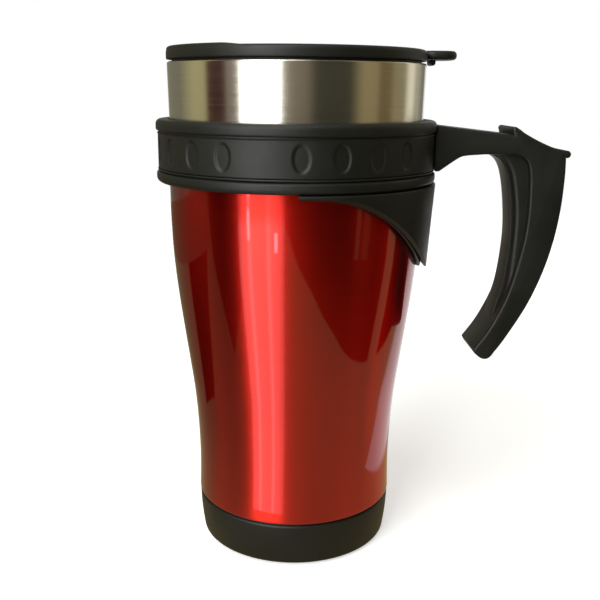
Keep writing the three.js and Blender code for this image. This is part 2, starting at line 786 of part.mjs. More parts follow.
// Slider plate with its thumb ridge, the pad's seat and the stem through the deck.
function drinkSlider() {
  const plan = roundedPlan(sliderLow, sliderHigh, sliderWidth, sliderWidth / 4);
  const knobMiddle = sliderHigh - knobLength;
  const knob = new THREE.Shape();
  const top = sliderBottom + sliderThickness;
  knob.moveTo(knobMiddle - knobLength / 2, top - sliderEdge);
  knob.quadraticCurveTo(knobMiddle, top + 2 * knobHeight, knobMiddle + knobLength / 2, top - sliderEdge);
  const stemBottom = deckBottom - clearance - clipThickness;
  const seatLow = sliderLow + padSeatInset;
  const seat = roundedPlan(seatLow, seatLow + padSeatLength, padSeatWidth, padSeatLength / 4);
  let slider = plateUp(plan, sliderBottom, sliderThickness, sliderEdge);
  slider = slider.add(plateAcross(knob, knobWidth, 0, 6));
  slider = slider.add(block(
    [stemLow, -stemWidth / 2, stemBottom],
    [stemHigh, stemWidth / 2, sliderBottom + sliderThickness / 2],
  ));
  return slider.subtract(plateUp(seat, sliderBottom - overrun, overrun + padSeatDepth));
}

// Soft pad in the slider's seat, which closes the drink hole.
function sliderPad() {
  const low = sliderLow + padSeatInset + clearance;
  const high = low + padSeatLength - 2 * clearance;
  const width = padSeatWidth - 2 * clearance;
  const bottom = deckTop + clearance;
  const thickness = sliderBottom + padSeatDepth - clearance - bottom;
  return plateUp(roundedPlan(low, high, width, padSeatLength / 4), bottom, thickness);
}

// Clip pressed on the stem under the deck, which keeps the slider on.
function sliderClip() {
  const middle = (stemLow + stemHigh) / 2;
  const bottom = deckBottom - clearance - clipThickness;
  const plan = roundedPlan(middle - clipLength / 2, middle + clipLength / 2, clipWidth, clipWidth / 5);
  const hole = block(
    [stemLow - clearance, -stemWidth / 2 - clearance, bottom - overrun],
    [stemHigh + clearance, stemWidth / 2 + clearance, bottom + clipThickness + overrun],
  );
  return plateUp(plan, bottom, clipThickness, 0, 3).subtract(hole);
}

// Materials.
const steel = new THREE.MeshStandardMaterial({ color: 0xb9b7ad, roughness: 0.28, metalness: 1 });
const redLacquer = new THREE.MeshStandardMaterial({ color: 0xa81410, roughness: 0.25, metalness: 0.8 });
const blackPlastic = new THREE.MeshStandardMaterial({ color: 0x23241f, roughness: 0.5, metalness: 0 });
const softRubber = new THREE.MeshStandardMaterial({ color: 0x1a1a1a, roughness: 0.85, metalness: 0 });
const clearSilicone = new THREE.MeshStandardMaterial({ color: 0xd8d6cf, roughness: 0.45, metalness: 0 });
const screwSteel = new THREE.MeshStandardMaterial({ color: 0x8c8c88, roughness: 0.35, metalness: 1 });

function pieceOf(name, solid, material) {
  const mesh = solid.getMesh();
  const geometry = new THREE.BufferGeometry();
  const positions = new THREE.Float32BufferAttribute(mesh.vertProperties, 3);
  geometry.setAttribute('position', positions);
  geometry.setIndex(new THREE.BufferAttribute(mesh.triVerts, 1));
  geometry.computeVertexNormals();
  const piece = new THREE.Mesh(geometry, material);
  piece.name = name;
  return piece;
}

const body = new THREE.Group();
body.add(
  pieceOf('inner_cup', innerCup(), steel),
  pieceOf('outer_shell', outerShell(), redLacquer),
  pieceOf('shell_top_seal', shellTopSeal(), softRubber),
  pieceOf('base_cap', baseCap(), blackPlastic),
  pieceOf('base_seal_ring', baseSealRing(), softRubber),
  pieceOf('base_pad', basePad(), softRubber),
  pieceOf('collar_ring', collarRing(), blackPlastic),
  pieceOf('collar_liner', collarLiner(), softRubber),
  pieceOf('handle_apron', handleApron(), blackPlastic),
  pieceOf('handle', handle(), blackPlastic),
  pieceOf('handle_screw_lower', handleScrew(screwHeights[0]), screwSteel),
  pieceOf('handle_screw_upper', handleScrew(screwHeights[1]), screwSteel),
);

const lid = new THREE.Group();
lid.add(
  pieceOf('lid_shell', lidShell(), blackPlastic),
  pieceOf('lid_gasket', lidGasket(), clearSilicone),
);

const slider = new THREE.Group();
slider.add(
  pieceOf('drink_slider', drinkSlider(), blackPlastic),
  pieceOf('slider_pad', sliderPad(), clearSilicone),
  pieceOf('slider_clip', sliderClip(), blackPlastic),
);

const mug = new THREE.Group();
mug.add(body, lid, slider);

export default mug;
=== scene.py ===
# %% [markdown]
# # Insulated travel mug
#
# This lesson dresses a finished engineering model of a travel mug. The model gives every
# piece its true place and size. Here each visible piece gets a smooth skin of the same
# size, a finish that behaves like the real one, and light to see it by.

import math

import bmesh
import bpy
from mathutils import Matrix, Vector


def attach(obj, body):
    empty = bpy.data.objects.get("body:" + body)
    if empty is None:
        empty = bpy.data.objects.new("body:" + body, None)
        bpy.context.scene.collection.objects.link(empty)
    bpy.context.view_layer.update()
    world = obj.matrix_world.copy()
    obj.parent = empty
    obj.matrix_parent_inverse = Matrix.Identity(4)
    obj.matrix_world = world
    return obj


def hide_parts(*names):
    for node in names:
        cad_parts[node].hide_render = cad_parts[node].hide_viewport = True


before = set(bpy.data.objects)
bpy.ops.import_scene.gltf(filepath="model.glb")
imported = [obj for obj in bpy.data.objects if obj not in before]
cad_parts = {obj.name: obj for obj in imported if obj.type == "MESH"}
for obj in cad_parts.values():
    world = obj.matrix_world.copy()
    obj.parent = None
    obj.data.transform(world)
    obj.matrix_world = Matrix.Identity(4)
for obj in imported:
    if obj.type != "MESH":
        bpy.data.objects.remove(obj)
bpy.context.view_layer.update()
print("nodes:", len(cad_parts))

# %% [markdown]
# ## The camera
#
# The camera stands close, about 29 cm from the mug's axis, level with the steel band and
# looking 14 degrees down. A close camera makes the rings open out towards the foot. It
# could be aimed with a Track To constraint, but three turns in a row keep the exact pitch,
# yaw and roll: stand it up and pitch it, swing it round, then roll it on its own axis.

# %% Camera
CAMERA_AZIMUTH = -92.0  # degrees round the mug, counted from the handle
camera_distance, camera_height = 0.28767, 0.15536
camera_pitch, camera_yaw, camera_roll = 14.0, 0.335, 0.477
camera_data = bpy.data.cameras.new("camera")
camera_data.lens = 51.0
camera_data.sensor_width = 36.0
camera_data.clip_start = 0.01
camera = bpy.data.objects.new("camera", camera_data)
bpy.context.scene.collection.objects.link(camera)
facing = math.radians(CAMERA_AZIMUTH)
turn = (
    Matrix.Rotation(facing + math.radians(90 - camera_yaw), 4, "Z")
    @ Matrix.Rotation(math.radians(90 - camera_pitch), 4, "X")
    @ Matrix.Rotation(math.radians(camera_roll), 4, "Z")
)
spot = Vector((
    camera_distance * math.cos(facing),
    camera_distance * math.sin(facing),
    camera_height,
))
camera.matrix_world = Matrix.Translation(spot) @ turn
bpy.context.scene.camera = camera
print("camera at", [round(value, 4) for value in spot])

# %% [markdown]
# ## The mug's sizes
#
# A maker would write these on the drawing. They are in millimetres, because that is how
# people talk about a mug; one helper turns them into metres when a mesh is made.

# %% Sizes in millimetres
MM = 0.001
GAP = 0.3  # what the fitted pieces keep between them
LIP_TOP, SHELL_TOP, SHELL_BOTTOM = 163.2, 137.0, 15.6
COLLAR_TOP, COLLAR_BOTTOM = 145.5, 125.5
BASE_TOP, BASE_BOTTOM = 15.0, 0.4
LID_TOP, DECK_TOP, DECK_BOTTOM, SKIRT_BOTTOM, PLUG_BOTTOM = 167.4, 164.2, 162.2, 163.5, 152.0
MOUTH_RADIUS, BAND_TAPER = 42.0, 0.0206
CUP_WALL, SHELL_WALL, LINER_WALL, COLLAR_WALL = 0.8, 0.7, 0.95, 1.5
BEAD_PROUD, RIM_PROUD, RIM_WIDTH = 0.6, 0.2, 4.4


def band_radius(z):
    """Outside of the steel band, which narrows very slightly towards the collar."""
    return MOUTH_RADIUS - BAND_TAPER * (LIP_TOP - z)


SHELL_TOP_RADIUS = band_radius(SHELL_TOP) + GAP + SHELL_WALL
CHANNEL_RADIUS = SHELL_TOP_RADIUS + GAP + LINER_WALL + GAP
COLLAR_RADIUS = CHANNEL_RADIUS + COLLAR_WALL
BEAD_RADIUS = COLLAR_RADIUS + BEAD_PROUD
RIM_RADIUS = MOUTH_RADIUS + RIM_PROUD
WELL_RADIUS = RIM_RADIUS - RIM_WIDTH - GAP
PLUG_RADIUS = band_radius(PLUG_BOTTOM) - CUP_WALL - 2 * GAP
print(f"collar {2 * COLLAR_RADIUS:.1f} mm across, beads {2 * BEAD_RADIUS:.1f} mm")

# %% [markdown]
# ## Smooth lines
#
# The shell's waist and the handle's curves are drawn through a few points. A Bezier curve
# object could do it, but a spline in a few lines of code can be used for turned profiles
# and for flat outlines alike. Arcs and bows do the rest.

# %% Smooth lines through points
def spaced(first, last, steps):
    """Evenly spaced numbers from first to last."""
    return [first + (last - first) * k / steps for k in range(steps + 1)]


def smooth_line(points, steps):
    """A line that passes through every point with no corner."""
    line = [points[0]]
    last = len(points) - 1
    for i in range(last):
        before, here = points[max(i - 1, 0)], points[i]
        there, after = points[i + 1], points[min(i + 2, last)]
        for t in spaced(0, 1, steps)[1:]:
            line.append(tuple(
                h + 0.5 * t * (n - b + t * (
                    2 * b - 5 * h + 4 * n - a + t * (3 * h - b - 3 * n + a)
                ))
                for b, h, n, a in zip(before, here, there, after)
            ))
    return line


def arc(centre, radius, start, end, steps=10):
    """Part of a circle as points, with the angles in degrees."""
    return [
        (centre[0] + radius * math.cos(angle), centre[1] + radius * math.sin(angle))
        for angle in map(math.radians, spaced(start, end, steps))
    ]


def bow(start, pull, end, steps):
    """A curved line from start to end that is drawn towards a third point."""
    return [
        tuple(
            s * (1 - t) ** 2 + p * 2 * t * (1 - t) + e * t * t
            for s, p, e in zip(start, pull, end)
        )
        for t in spaced(0, 1, steps)
    ]


# The shell's radius at even steps of height, as shares of its top radius
SHELL_SHARES = [
    0.802, 0.7965, 0.8055, 0.828, 0.8655, 0.9055, 0.943, 0.9715, 0.9855, 0.9905, 1,
]
levels = spaced(SHELL_BOTTOM, SHELL_TOP, len(SHELL_SHARES) - 1)
shell_line = smooth_line([
    (SHELL_TOP_RADIUS * share, level) for share, level in zip(SHELL_SHARES, levels)
], 8)


def shell_radius(z):
    """Outside of the lacquered shell at a height."""
    for (r0, z0), (r1, z1) in zip(shell_line, shell_line[1:]):
        if z <= z1:
            return r0 + (r1 - r0) * (z - z0) / (z1 - z0)
    return shell_line[-1][0]


def eased(share):
    """A share from 0 to 1 that starts and ends softly."""
    share = min(max(share, 0.0), 1.0)
    return share * share * (3 - 2 * share)


AIR_GAP, AIR_FADE = 3.0, 22.0  # the air space, and the height over which it opens


def cup_radius(z):
    """Outside of the steel cup below its band, behind the air space."""
    air = GAP + (AIR_GAP - GAP) * eased((SHELL_TOP - z) / AIR_FADE)
    return shell_radius(z) - SHELL_WALL - air


print("waist", round(min(r for r, z in shell_line) * 2, 1), "mm across")

# %% [markdown]
# ## Turning a profile
#
# Cup, shell, cap, collar and lid are all turned on the same axis, as clay is on a wheel.
# Blender has a Screw modifier for this. Here short functions do it, because then each
# corner of the profile can be rounded first. Real edges are never razor sharp, and the
# small rounding is what catches the light. A loft joins outlines of equal point counts,
# ring after ring, and a turned piece is a loft that goes all the way round.

# %% Mesh helpers
CORNER = 35.0  # edges that bend by more degrees than this stay sharp
OPEN_CORNER = 160.0  # corners open by more degrees than this stay as they are
SAME_POINT = 0.02  # nearer points of an outline, in millimetres, count as one


def make_piece(name, points, faces, corner):
    """A mesh object from points in millimetres, smooth except at real corners."""
    mesh = bpy.data.meshes.new(name)
    mesh.from_pydata([[c * MM for c in point] for point in points], [], faces)
    work = bmesh.new()
    work.from_mesh(mesh)
    bmesh.ops.remove_doubles(work, verts=work.verts, dist=1e-6)
    bmesh.ops.dissolve_degenerate(work, edges=work.edges, dist=1e-7)
    bmesh.ops.recalc_face_normals(work, faces=work.faces)
    work.to_mesh(mesh)
    work.free()
    mesh.shade_smooth()
    mesh.set_sharp_from_angle(angle=math.radians(corner))
    piece = bpy.data.objects.new(name, mesh)
    bpy.context.scene.collection.objects.link(piece)
    return piece


def soften(outline, radius, steps=3):
    """Rounds the corners of a closed outline of (across, up) points."""
    soft = []
    count = len(outline)
    for i, corner in enumerate(outline):
        here = Vector(corner)
        back = Vector(outline[i - 1]) - here
        ahead = Vector(outline[(i + 1) % count]) - here
        angle = back.angle(ahead, math.pi)
        if corner[0] == 0 or angle > math.radians(OPEN_CORNER):
            soft.append(corner)
            continue
        cut = min(radius / math.tan(angle / 2), 0.45 * back.length, 0.45 * ahead.length)
        first, last = here + back.normalized() * cut, here + ahead.normalized() * cut
        soft += bow(first, here, last, steps)
    return soft


def loft(name, rings, corner=CORNER, closed=False):
    """Rings of equal point counts joined in order, with flat ends unless it closes."""
    count = len(rings[0])
    points = [point for each in rings for point in each]
    faces = []
    for s in range(len(rings) if closed else len(rings) - 1):
        here, there = s * count, (s + 1) % len(rings) * count
        for k in range(count):
            n = (k + 1) % count
            faces.append((here + k, here + n, there + n, there + k))
    if not closed:
        faces.append(tuple(range(count - 1, -1, -1)))
        faces.append(tuple(range((len(rings) - 1) * count, len(rings) * count)))
    return make_piece(name, points, faces, corner)


def around(outline, degrees):
    """An outline of (radius, height) points, swung round the mug from the handle."""
    angle = math.radians(degrees)
    return [(radius * math.cos(angle), radius * math.sin(angle), z) for radius, z in outline]


def turned(name, outline, steps=192, corner=CORNER):
    """A closed (radius, height) outline turned round the mug's axis."""
    rings = [around(outline, 360 * s / steps) for s in range(steps)]
    return loft(name, rings, corner, closed=True)


print("helpers ready: soften, loft, turned")

# %% [markdown]
# ## Solid helpers for the pieces that aren't turned
#
# A plate is a flat outline with a rounded edge on both sides, like a piece cut from sheet
# and filed round. Where two solids meet or one cuts another, the Boolean modifier does
# what a mould does.

# %% Plate and Boolean helpers
def inset(outline, depth):
    """A flat closed outline moved inwards by a depth, corner by corner."""
    area = sum(
        a[0] * b[1] - b[0] * a[1] for a, b in zip(outline, outline[1:] + outline[:1])
    )
    side = 1 if area > 0 else -1
    moved = []
    for i, corner in enumerate(outline):
        here = Vector(corner)
        came = (here - Vector(outline[i - 1])).normalized()
        goes = (Vector(outline[(i + 1) % len(outline)]) - here).normalized()
        normal = Vector((-(came.y + goes.y), came.x + goes.x)).normalized() * side
        reach = max(normal.dot(Vector((-came.y, came.x)) * side), 0.5)
        moved.append(tuple(here + normal * depth / reach))
    return moved


def plate(name, outline, low, high, edge, steps=4, upright=False):
    """An outline with thickness and rounded edges, lying flat or standing upright."""
    following = outline[1:] + outline[:1]
    outline = [a for a, b in zip(outline, following) if math.dist(a, b) > SAME_POINT]
    angles = spaced(0, math.pi / 2, steps)
    rings = []
    for side, inwards, order in ((low, edge, angles), (high, -edge, angles[::-1])):
        for angle in order:
            ring = inset(outline, edge * (1 - math.sin(angle)))
            depth = side + inwards * (1 - math.cos(angle))
            rings.append([(a, depth, b) if upright else (a, b, depth) for a, b in ring])
    return loft(name, rings)


def settle(piece):
    """Makes what the modifiers show the piece's own mesh."""
    graph = bpy.context.evaluated_depsgraph_get()
    mesh = bpy.data.meshes.new_from_object(piece.evaluated_get(graph))
    piece.modifiers.clear()
    piece.data = mesh


def join_solids(piece, others, operation="UNION"):
    """Adds other solids to a piece, or cuts them from it, and removes them."""
    for other in others:
        change = piece.modifiers.new("join", "BOOLEAN")
        change.operation = operation
        change.solver = "EXACT"
        change.object = other
    settle(piece)
    piece.data.shade_smooth()
    piece.data.set_sharp_from_angle(angle=math.radians(CORNER))
    for other in others:
        bpy.data.objects.remove(other)


def rounded_box(low, high, width, radius, steps=8):
    """A rounded rectangle seen from above, from low X to high X."""
    side, right, left = width / 2 - radius, high - radius, low + radius
    line = []
    for k, corner in enumerate(((right, -side), (right, side), (left, side), (left, -side))):
        line += arc(corner, radius, 90 * k - 90, 90 * k, steps)
    return line


def plain_box(low, high, near, far):
    """A rectangle seen from above, from low to high X and from near to far Y."""
    return [(low, near), (high, near), (high, far), (low, far)]


print("helpers ready: plate, join_solids")

# %% [markdown]
# ## Colours and nodes
#
# Colours are hex codes in the sRGB scale of a screen, set against the photo. Shader nodes
# count in linear light, so one function converts. Another adds a node, sets it and links it
# in one line. The rest are short names for nodes that come back in every finish: noise, a
# mix of two colours, a change of range, a relief, and a direction round the mug.

# %% Colour and node helpers
def linear(code):
    """An sRGB hex colour as linear red, green, blue and alpha."""
    values = [int(code[i:i + 2], 16) / 255 for i in (1, 3, 5)]
    return [
        v / 12.92 if v <= 0.04045 else ((v + 0.055) / 1.055) ** 2.4 for v in values
    ] + [1.0]


def fill(node, inputs):
    """Writes values into a node's inputs, or links them to other nodes' outputs."""
    for key, value in inputs.items():
        if isinstance(value, bpy.types.NodeSocket):
            node.id_data.links.new(value, node.inputs[key])
        else:
            node.inputs[key].default_value = value


def add_node(tree, kind, inputs=None, **settings):
    """Adds a node, sets its fields and fills its inputs."""
    node = tree.nodes.new(kind)
    for field, value in settings.items():
        setattr(node, field, value)
    fill(node, inputs or {})
    return node


def maths_in(tree):
    """A function that adds one maths node to a tree and gives its output."""
    def maths(operation, *values):
        node = add_node(tree, "ShaderNodeMath", dict(enumerate(values)), operation=operation)
        return node.outputs["Value"]
    return maths


def in_range(tree, value, start, end, low=0.0, high=1.0, **settings):
    """A value's range from start to end, stretched to run from low to high."""
    node = add_node(tree, "ShaderNodeMapRange", {
        "Value": value, "From Min": start, "From Max": end, "To Min": low, "To Max": high,
    }, **settings)
    return node.outputs["Result"]


def mixed(tree, share, *colours):
    """Two colours mixed; each is a hex code, a plain colour or a node's output."""
    first, second = [linear(c) if isinstance(c, str) else c for c in colours]
    node = add_node(tree, "ShaderNodeMix", {"Factor": share, "A": first, "B": second},
                    data_type="RGBA")
    return node.outputs["Result"]


def noise(tree, scale, detail, roughness=0.5):
    """Noise that stays on the piece; its scale is one number, or one for each axis."""
    place = add_node(tree, "ShaderNodeTexCoord").outputs["Object"]
    if isinstance(scale, tuple):
        stretch = add_node(tree, "ShaderNodeMapping", {"Vector": place, "Scale": scale})
        place, scale = stretch.outputs["Vector"], 1.0
    node = add_node(tree, "ShaderNodeTexNoise", {
        "Vector": place, "Scale": scale, "Detail": detail, "Roughness": roughness,
    })
    return node.outputs["Fac"]


def relief(tree, height, strength, depth):
    """Small bumps, with their depth in metres."""
    return add_node(tree, "ShaderNodeBump", {
        "Height": height, "Strength": strength, "Distance": depth,
    }).outputs["Normal"]


def round_the_mug(tree):
    """The direction in which the brush ran."""
    node = add_node(tree, "ShaderNodeTangent", direction_type="RADIAL", axis="Z")
    return node.outputs["Tangent"]


def new_finish(name):
    """An empty material with its Principled shader."""
    finish = bpy.data.materials.new(name)
    finish.use_nodes = True
    print("made", name)
    return finish, finish.node_tree, finish.node_tree.nodes["Principled BSDF"]


print("helpers ready: linear, fill, add_node, new_finish")

# %% [markdown]
# ## Brushed stainless steel
#
# The cup is 18/8 stainless steel, polished with an abrasive belt while it turns. The belt
# leaves fine scratches that run round the cup. They spread a reflection up and down but
# hardly sideways, so a window becomes a crisp upright bar. Anisotropy gives that look, and
# very long, thin noise gives the scratches. Real ones are about 0.05 mm apart, too fine to
# show here, so they are drawn about 0.4 mm apart.

# %% Brushed steel
brushed_steel, tree, shader = new_finish("brushed stainless steel")
scratches = noise(tree, (25.0, 25.0, 2500.0), 3.0, 0.6)
fill(shader, {
    "Base Color": mixed(tree, scratches, "#c9c6b8", "#dcd9cd"),
    "Roughness": in_range(tree, scratches, 0.3, 0.7, 0.17, 0.26),
    "Normal": relief(tree, scratches, 0.12, 0.00005),
    "Tangent": round_the_mug(tree),
    "Metallic": 1.0,
    "Anisotropic": 0.8,
    "Anisotropic Rotation": 0.25,
})

# %% [markdown]
# ## Clear red lacquer over steel
#
# The shell is the same brushed steel under a clear red lacquer, sometimes called candy
# paint. Two reflections lie on top of each other. The steel below gives a wide glow that
# the lacquer colours red, and the lacquer's own surface gives a thin, sharp, white one.
# A metal with a red base colour makes the first, and a coat makes the second.

# %% Red lacquer
red_lacquer, tree, shader = new_finish("clear red lacquer on brushed steel")
scratches = noise(tree, (40.0, 40.0, 1800.0), 2.0)
clouds = noise(tree, 45.0, 2.0)
uneven = maths_in(tree)("MULTIPLY", scratches, clouds)
fill(shader, {
    "Base Color": mixed(tree, uneven, "#c8221a", "#d8281d"),
    "Roughness": in_range(tree, scratches, 0.3, 0.7, 0.33, 0.39),
    "Tangent": round_the_mug(tree),
    "Metallic": 1.0,
    "Specular Tint": (0.35, 0.1, 0.1, 1),
    "Anisotropic": 0.96,
    "Anisotropic Rotation": 0.25,
    "Coat Weight": 1.0,
    "Coat Roughness": 0.04,
    "Coat IOR": 1.5,
})

# %% [markdown]
# ## Black moulded plastic
#
# Collar, handle, cap and lid are polypropylene, coloured black with a faint green cast and
# moulded in a spark-eroded tool. The tool leaves a grain of some tenths of a millimetre, so
# light from the side turns grey and soft instead of glossy. Two sizes of noise are enough:
# one for the grain, and one that is slower, for the handled look.

# %% Black plastic
black_plastic, tree, shader = new_finish("black moulded polypropylene")
grain = noise(tree, 1600.0, 2.0, 0.6)
handling = noise(tree, 60.0, 4.0, 0.65)
fill(shader, {
    "Base Color": mixed(tree, handling, "#0d0f0b", "#131511"),
    "Roughness": in_range(tree, handling, 0.3, 0.7, 0.42, 0.55),
    "Normal": relief(tree, grain, 0.25, 0.00008),
    "IOR": 1.49,
    "Specular IOR Level": 0.36,
})

# %% [markdown]
# ## Rubber, silicone and zinc
#
# The pad and the hidden rings are black rubber, fully matt. The lid's ring and the slider's
# pad are milky silicone, which lets a little light in. The screws are zinc plated steel.

# %% Rubber, silicone and zinc plated steel
black_rubber, tree, shader = new_finish("black rubber")
dust = noise(tree, 700.0, 3.0)
fill(shader, {
    "Base Color": mixed(tree, dust, "#1b1b1b", "#2a2a29"),
    "Normal": relief(tree, dust, 0.3, 0.0001),
    "Roughness": 0.85,
})
milky_silicone, tree, shader = new_finish("milky silicone")
fill(shader, {
    "Base Color": mixed(tree, noise(tree, 250.0, 2.0), "#cfccc4", "#dedbd4"),
    "Roughness": 0.42,
    "Subsurface Weight": 0.2,
    "Subsurface Scale": 0.002,
})
zinc_steel, tree, shader = new_finish("zinc plated steel")
spangle = add_node(tree, "ShaderNodeTexVoronoi", {
    "Vector": add_node(tree, "ShaderNodeTexCoord").outputs["Object"],
    "Scale": 900.0,
})
fill(shader, {
    "Base Color": mixed(tree, spangle.outputs["Distance"], "#9a9a97", "#b4b4b0"),
    "Metallic": 1.0,
    "Roughness": 0.35,
})

# %% [markdown]
# ## Dressing a piece
#
# Each finished piece needs three facts: its material, the body that carries it, and the
# model node that it stands for.

# %% Dress helper
def dress(piece, finish, body, node):
    """Gives a piece its finish and ties it to the frame."""
    piece.data.materials.clear()
    piece.data.materials.append(finish)
    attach(piece, body)
    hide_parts(node)
    print(f"{piece.name}: {len(piece.data.polygons)} faces, stands for {node}")


print("helper ready: dress")

# %% [markdown]
# ## The steel cup
#
# One drawn shell: a flat floor, a rounded corner, a wall that follows the waist behind the
# air gap, and a band that shows above the collar. The lip is rolled, so the mouth meets a
# round edge. Only the band shows from outside, but with the lid off one looks right in.

# %% Steel cup
cup_bottom, corner_size = 21.9, 6.0
corner_top = cup_bottom + corner_size
corner_radius = cup_radius(corner_top) - corner_size
lip_roll = 0.6
lip_centre = MOUTH_RADIUS - lip_roll
levels = spaced(corner_top, SHELL_TOP, 60)
cup_outline = [(0, cup_bottom)]
cup_outline += arc((corner_radius, corner_top), corner_size, -90, 0)
cup_outline += [(cup_radius(z), z) for z in levels[1:]]
cup_outline += arc((lip_centre, LIP_TOP - lip_roll), lip_roll, 0, 200, 16)
cup_outline += [(band_radius(SHELL_TOP) - CUP_WALL, SHELL_TOP)]
cup_outline += [(cup_radius(z) - CUP_WALL, z) for z in levels[-2:0:-1]]
cup_outline += arc((corner_radius, corner_top), corner_size - CUP_WALL, 0, -90)
cup_outline += [(0, cup_bottom + CUP_WALL)]
steel_cup = turned("steel_cup", cup_outline, 256)
dress(steel_cup, brushed_steel, "mug", "inner_cup")

# %% [markdown]
# ## The lacquered shell
#
# A tube with a waist, open at both ends. Its lower edge is hemmed, and the thin light line
# above the black cap is the light on that hem.

# %% Lacquered shell
hem = 0.6
hem_radius = shell_radius(SHELL_BOTTOM)
shell_outline = [(hem_radius - SHELL_WALL, SHELL_BOTTOM)]
shell_outline += arc((hem_radius - hem, SHELL_BOTTOM + hem), hem, -90, 0, 6)
levels = spaced(SHELL_BOTTOM + hem + 1, SHELL_TOP, 90)
shell_outline += [(shell_radius(z), z) for z in levels]
shell_outline += [(shell_radius(z) - SHELL_WALL, z) for z in reversed(levels)]
lacquered_shell = turned("lacquered_shell", shell_outline, 256, 50)
dress(lacquered_shell, red_lacquer, "mug", "outer_shell")

# %% [markdown]
# ## Base cap and pad
#
# The cap is one moulding: a rounded foot, a wall that swells slightly, a ledge under the
# shell and a spigot that goes up inside. The joint with the shell stays open by 0.6 mm,
# and reads as the dark line under the red.

# %% Base cap and rubber pad
cap_radius = hem_radius
foot_radius = cap_radius - 1.3
foot_round = 1.6
foot_top = BASE_BOTTOM + foot_round
wall_middle = (cap_radius - 0.26, (foot_top + BASE_TOP) / 2)
wall_end = (cap_radius - 0.1625, BASE_TOP - 0.6)
spigot = cap_radius - SHELL_WALL - GAP
groove_low, groove_high, groove_deep = BASE_TOP + 2, BASE_TOP + 4.2, 1.1
spigot_top, spigot_wall = BASE_TOP + 6, 2.2
pad_radius, pad_top = 27.0, 2.3
pocket_radius, pocket_top, floor_top = pad_radius + GAP, pad_top + GAP, 4.8
cap_outline = [(0, pocket_top), (pocket_radius, pocket_top), (pocket_radius, BASE_BOTTOM)]
cap_outline += arc((foot_radius - foot_round, foot_top), foot_round, -90, 0, 8)[:-1]
cap_outline += bow((foot_radius, foot_top), wall_middle, wall_end, 12)
cap_outline += [
    (cap_radius - 0.4625, BASE_TOP), (spigot, BASE_TOP), (spigot, groove_low),
    (spigot - groove_deep, groove_low), (spigot - groove_deep, groove_high),
    (spigot, groove_high), (spigot, spigot_top), (spigot - spigot_wall, spigot_top),
    (spigot - spigot_wall, floor_top), (0, floor_top),
]
base_cover = turned("base_cover", soften(cap_outline, 0.3))
dress(base_cover, black_plastic, "mug", "base_cap")
pad_outline = [
    (0, 0), (pad_radius - 0.5, 0), (pad_radius, 0.5), (pad_radius, pad_top), (0, pad_top),
]
foot_pad = turned("foot_pad", soften(pad_outline, 0.3), 160)
dress(foot_pad, black_rubber, "mug", "base_pad")

# %% [markdown]
# ## The collar
#
# The collar is a ring with a rolled bead above and below, and thin dark lines where the
# beads meet the band. Shallow ovals are pressed into the band in groups of four. Cutting
# sixteen ovals with Booleans would leave ragged shading on a curved wall. The ovals follow
# a rule instead, so Geometry Nodes can press them in: for each point of a fine band, work
# out how far inside the nearest oval it lies, and move it inwards by that much.

# %% Collar ring, turned with a fine band
bead_foot = COLLAR_TOP - 3.7
band_top = bead_foot - 0.9
low_bead_top = COLLAR_BOTTOM + 3.4
band_bottom = low_bead_top + 1.35
lip_round = 1.6
round_centre = BEAD_RADIUS - lip_round
top_bore = band_radius(COLLAR_TOP) + GAP
low_bore = SHELL_TOP_RADIUS + GAP
face = COLLAR_RADIUS
groove = face - 0.45
top_part = [(top_bore, bead_foot), (top_bore, COLLAR_TOP - 0.6)]
top_part += arc((top_bore + 0.6, COLLAR_TOP - 0.6), 0.6, 180, 90, 5)
top_part += arc((round_centre, COLLAR_TOP - lip_round), lip_round, 90, 0, 12)
top_part += arc((BEAD_RADIUS - 0.7, bead_foot + 0.75), 0.7, 0, -60, 4)
top_part += [
    (groove, bead_foot), (groove, bead_foot - 0.45), (face + 0.05, bead_foot - 0.5),
    (face + 0.2, bead_foot - 0.65), (face + 0.12, band_top + 0.1),
]
band_part = [(face, height) for height in spaced(band_top, band_bottom, 40)]
low_part = [
    (face - 0.05, band_bottom - 0.08), (groove, band_bottom - 0.2),
    (face + 0.1, band_bottom - 0.38), (face + 0.2, band_bottom - 0.6),
    (face + 0.1, low_bead_top + 0.5), (groove, low_bead_top + 0.25),
    (face + 0.1, low_bead_top),
]
low_part += arc((BEAD_RADIUS - 0.7, low_bead_top - 0.75), 0.7, 60, 0, 4)
low_part += arc((round_centre, COLLAR_BOTTOM + lip_round), lip_round, 0, -90, 12)
low_part += [
    (low_bore, COLLAR_BOTTOM), (low_bore, low_bead_top - 0.45),
    (CHANNEL_RADIUS, low_bead_top - 0.45), (CHANNEL_RADIUS, bead_foot),
]
collar = turned("collar", top_part + band_part + low_part, 840)
print("collar before the ovals:", len(collar.data.vertices), "points")

# %% A node tree that presses ovals into a ring
ovals = bpy.data.node_groups.new("pressed ovals", "GeometryNodeTree")
sizes = ovals.interface
sizes.new_socket("Geometry", in_out="INPUT", socket_type="NodeSocketGeometry")
settings = {}
for label, value in {
    "Ring Radius": COLLAR_RADIUS * MM,
    "Middle Height": (COLLAR_BOTTOM + 10.3) * MM,
    "Oval Height": 9.1 * MM,
    "Oval Width": 5.7 * MM,
    "Depth": 0.45 * MM,
    "Sloping Edge": 0.75 * MM,
    "First Group": 45.0,
    "Second Group": 120.0,
    "Pitch": 15.0,
    "Ovals In Group": 4.0,
}.items():
    socket = sizes.new_socket(label, in_out="INPUT", socket_type="NodeSocketFloat")
    settings[socket.identifier] = value
socket = sizes.new_socket("Material", in_out="INPUT", socket_type="NodeSocketMaterial")
settings[socket.identifier] = black_plastic
sizes.new_socket("Geometry", in_out="OUTPUT", socket_type="NodeSocketGeometry")
print("oval tree:", len(settings), "inputs with values")

